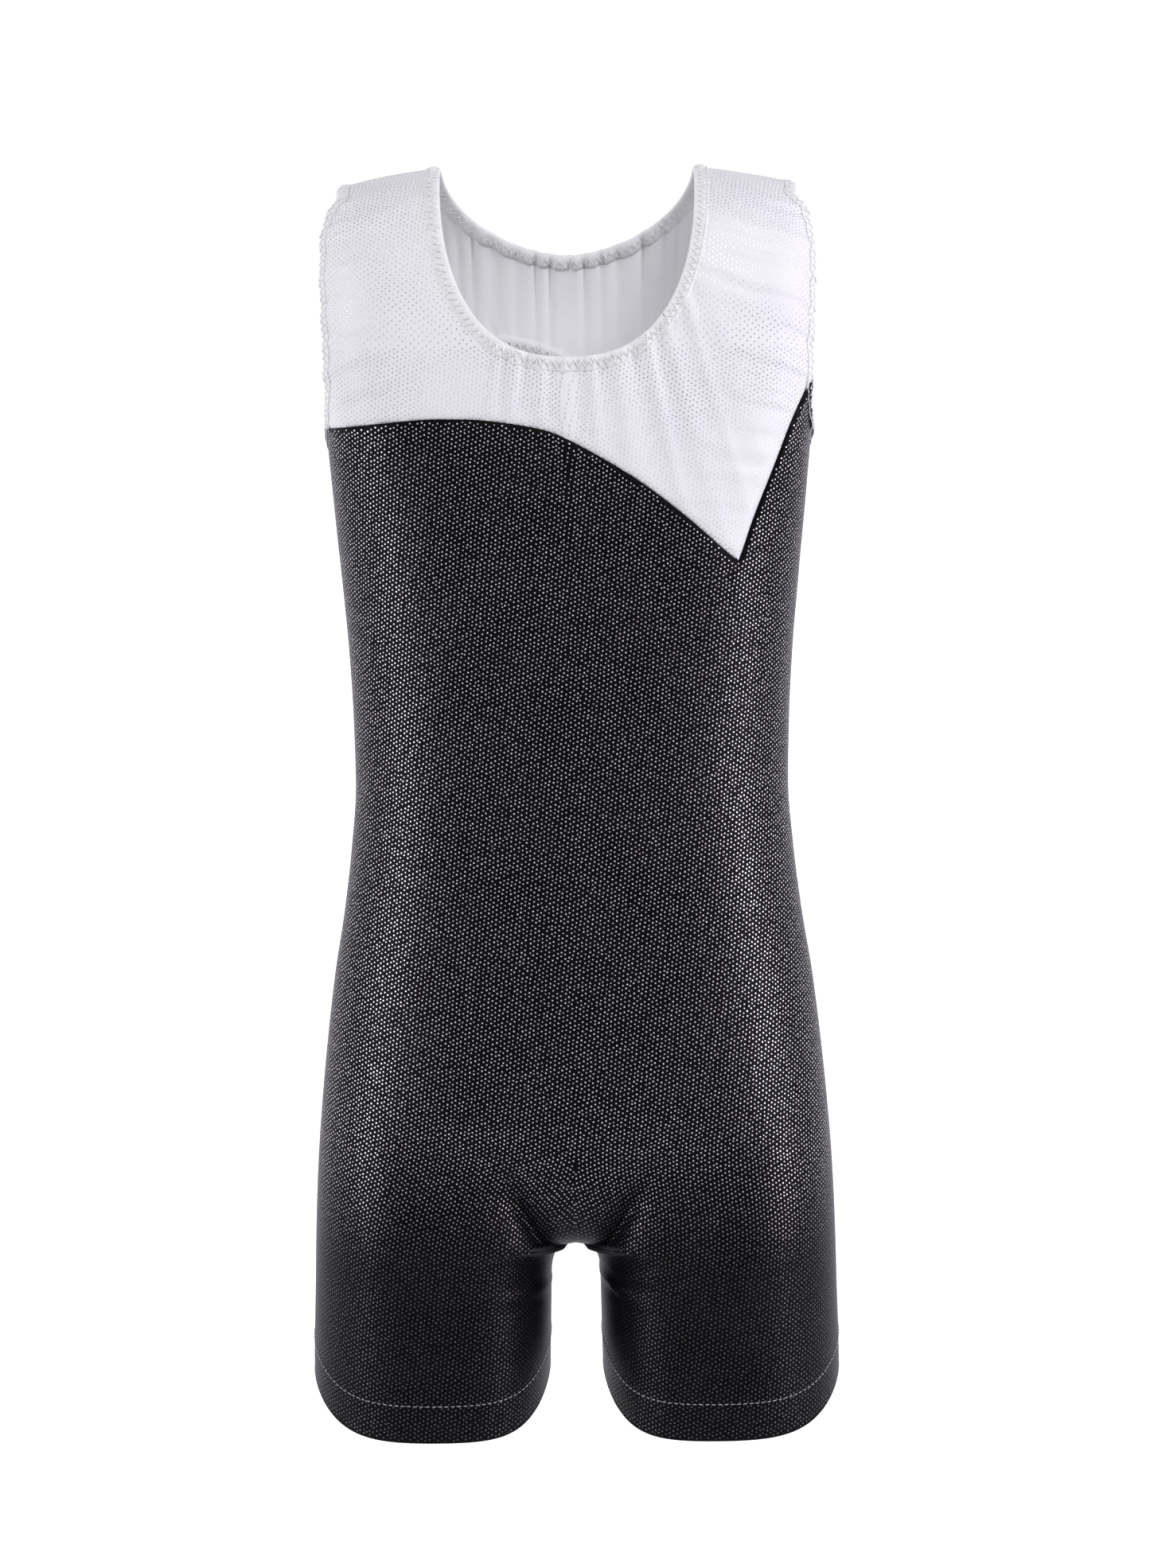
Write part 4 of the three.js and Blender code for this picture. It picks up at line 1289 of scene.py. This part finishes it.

# %% [markdown]
# ## Which piece stands for what
# Each piece rides on the garment and replaces the plain solids that it stands for. Stretch cloth
# is cut smaller than the body it covers.

# %% Declarations
declare(front_body, "black_foil_cloth", "front_body")
declare(back_body, "black_foil_cloth", "back_body")
declare(front_yoke, "white_cloth", "front_yoke")
declare(back_yoke, "white_cloth", "back_yoke")
declare(front_lining, "white_lining", "front_yoke_lining")
declare(back_lining, "white_lining", "back_yoke_lining")
declare(gusset, "black_lining", "crotch_gusset")
for piece, slot in ((front_dots, "black_foil_cloth"), (back_dots, "black_foil_cloth"),
                    (front_pearls, "white_cloth"), (back_pearls, "white_cloth")):
    declare(piece, slot)
for name, band in bands.items():
    declare(band, "edge_elastic", f"{name}_elastic")
    for row, nodes in zip(edge_threads[name], ([f"{name}_stitching"], [], [])):
        declare(row, "white_thread", *nodes)
for word, hem, (outside, inside) in zip(("right", "left"), hems, hem_threads):
    declare(hem, "black_foil_cloth")
    declare(outside, "hem_thread", f"{word}_hem_coverstitch")
    declare(inside, "black_thread")


# %% [markdown]
# ## Studio
# The garment hangs in a round white studio, with two tall soft lights beside it, which draw the
# bright bands down the black cloth, and a soft light above and in front for the folds of the yoke.
# The studio paper glows as well, less in front than behind, and that glow lights the garment too.

# %% Studio, lights and camera
def studio_bowl(radius=3.4, floor=-0.28, height=3.2, bend=0.7):
    """A round floor that curves up into a wall."""
    outline_rz = [(0.02, floor), (radius - bend, floor)]
    for angle in np.linspace(0, math.pi / 2, 10)[1:]:
        outline_rz.append((radius - bend + bend * math.sin(angle),
                           floor + bend - bend * math.cos(angle)))
    outline_rz.append((radius, height))
    turns = np.linspace(0, 2 * math.pi, 97)[:-1]
    points = [(r * math.cos(a), r * math.sin(a), z) for r, z in outline_rz for a in turns]
    walls = grid_faces(len(outline_rz), len(turns), around=True)[:, ::-1].tolist()
    mesh = bpy.data.meshes.new("studio_floor")
    mesh.from_pydata(points, [], [*walls, list(range(len(turns)))])
    mesh.polygons.foreach_set("use_smooth", [True] * len(mesh.polygons))
    return add_object("studio_floor", mesh)


# The paper itself glows as painted light: weaker in front (y -1.5) than behind (y 0.9), it lights
# the garment like a lamp.
paper = finish("studio paper", (0.25, 0.25, 0.255), 0.9, specular=0.1)
paper.node_tree.nodes["Principled BSDF"].inputs["Emission Strength"].default_value = 1.0
glow_share = blend_along(paper.node_tree, "Y", -1.5, 0.9, 0.38)
paper_glow = add_node(paper.node_tree, "ShaderNodeCombineColor",
                      dict.fromkeys(range(3), glow_share))
drive(paper, "Emission Color", paper_glow.outputs[0])
studio = studio_bowl()
studio.data.materials.append(paper)

world = bpy.data.worlds.new("studio")
bpy.context.scene.world = world
world.use_nodes = True
sky = world.node_tree.nodes["Background"].inputs
sky["Color"].default_value, sky["Strength"].default_value = (0.93, 0.94, 1.0, 1), 0.45

middle = Vector((0, 0, 0.3))


def soft_light(name, place, size, power, colour):
    """A soft rectangle of light that faces the middle of the garment."""
    light = bpy.data.lights.new(name, "AREA")
    light.shape, light.size, light.size_y = "RECTANGLE", size[0], size[1]
    light.energy, light.color = power, colour
    lamp = add_object(name, light)
    lamp.location = place
    lamp.rotation_euler = (middle - Vector(place)).to_track_quat("-Z", "Y").to_euler()


soft_light("left_strip", (-1.75, -0.75, 0.55), (0.45, 1.5), 11.5, (0.96, 0.93, 1))
soft_light("right_strip", (1.75, -0.75, 0.55), (0.45, 1.5), 14.5, (0.92, 0.86, 1))
soft_light("top_right", (0.6, -1.1, 1.7), (0.5, 0.5), 10, (1, 0.99, 0.98))

camera_data = bpy.data.cameras.new("camera")
camera = add_object("camera", camera_data)
bpy.context.scene.camera = camera
camera_data.sensor_width, camera_data.lens = 36.0, 108.6
camera_distance, camera_pitch, camera_roll = 2.2, math.radians(4), math.radians(0.48)
camera_aim = Vector((0.0014, seam_plane * MM, 0.300))
back_off = Vector((0, -math.cos(camera_pitch), math.sin(camera_pitch))) * camera_distance
camera.location = camera_aim + back_off
turn = (-back_off).to_track_quat("-Z", "Y")
turn.rotate(Quaternion(-back_off.normalized(), camera_roll))
camera.rotation_euler = turn.to_euler()
bpy.context.scene.view_settings.view_transform = "Standard"
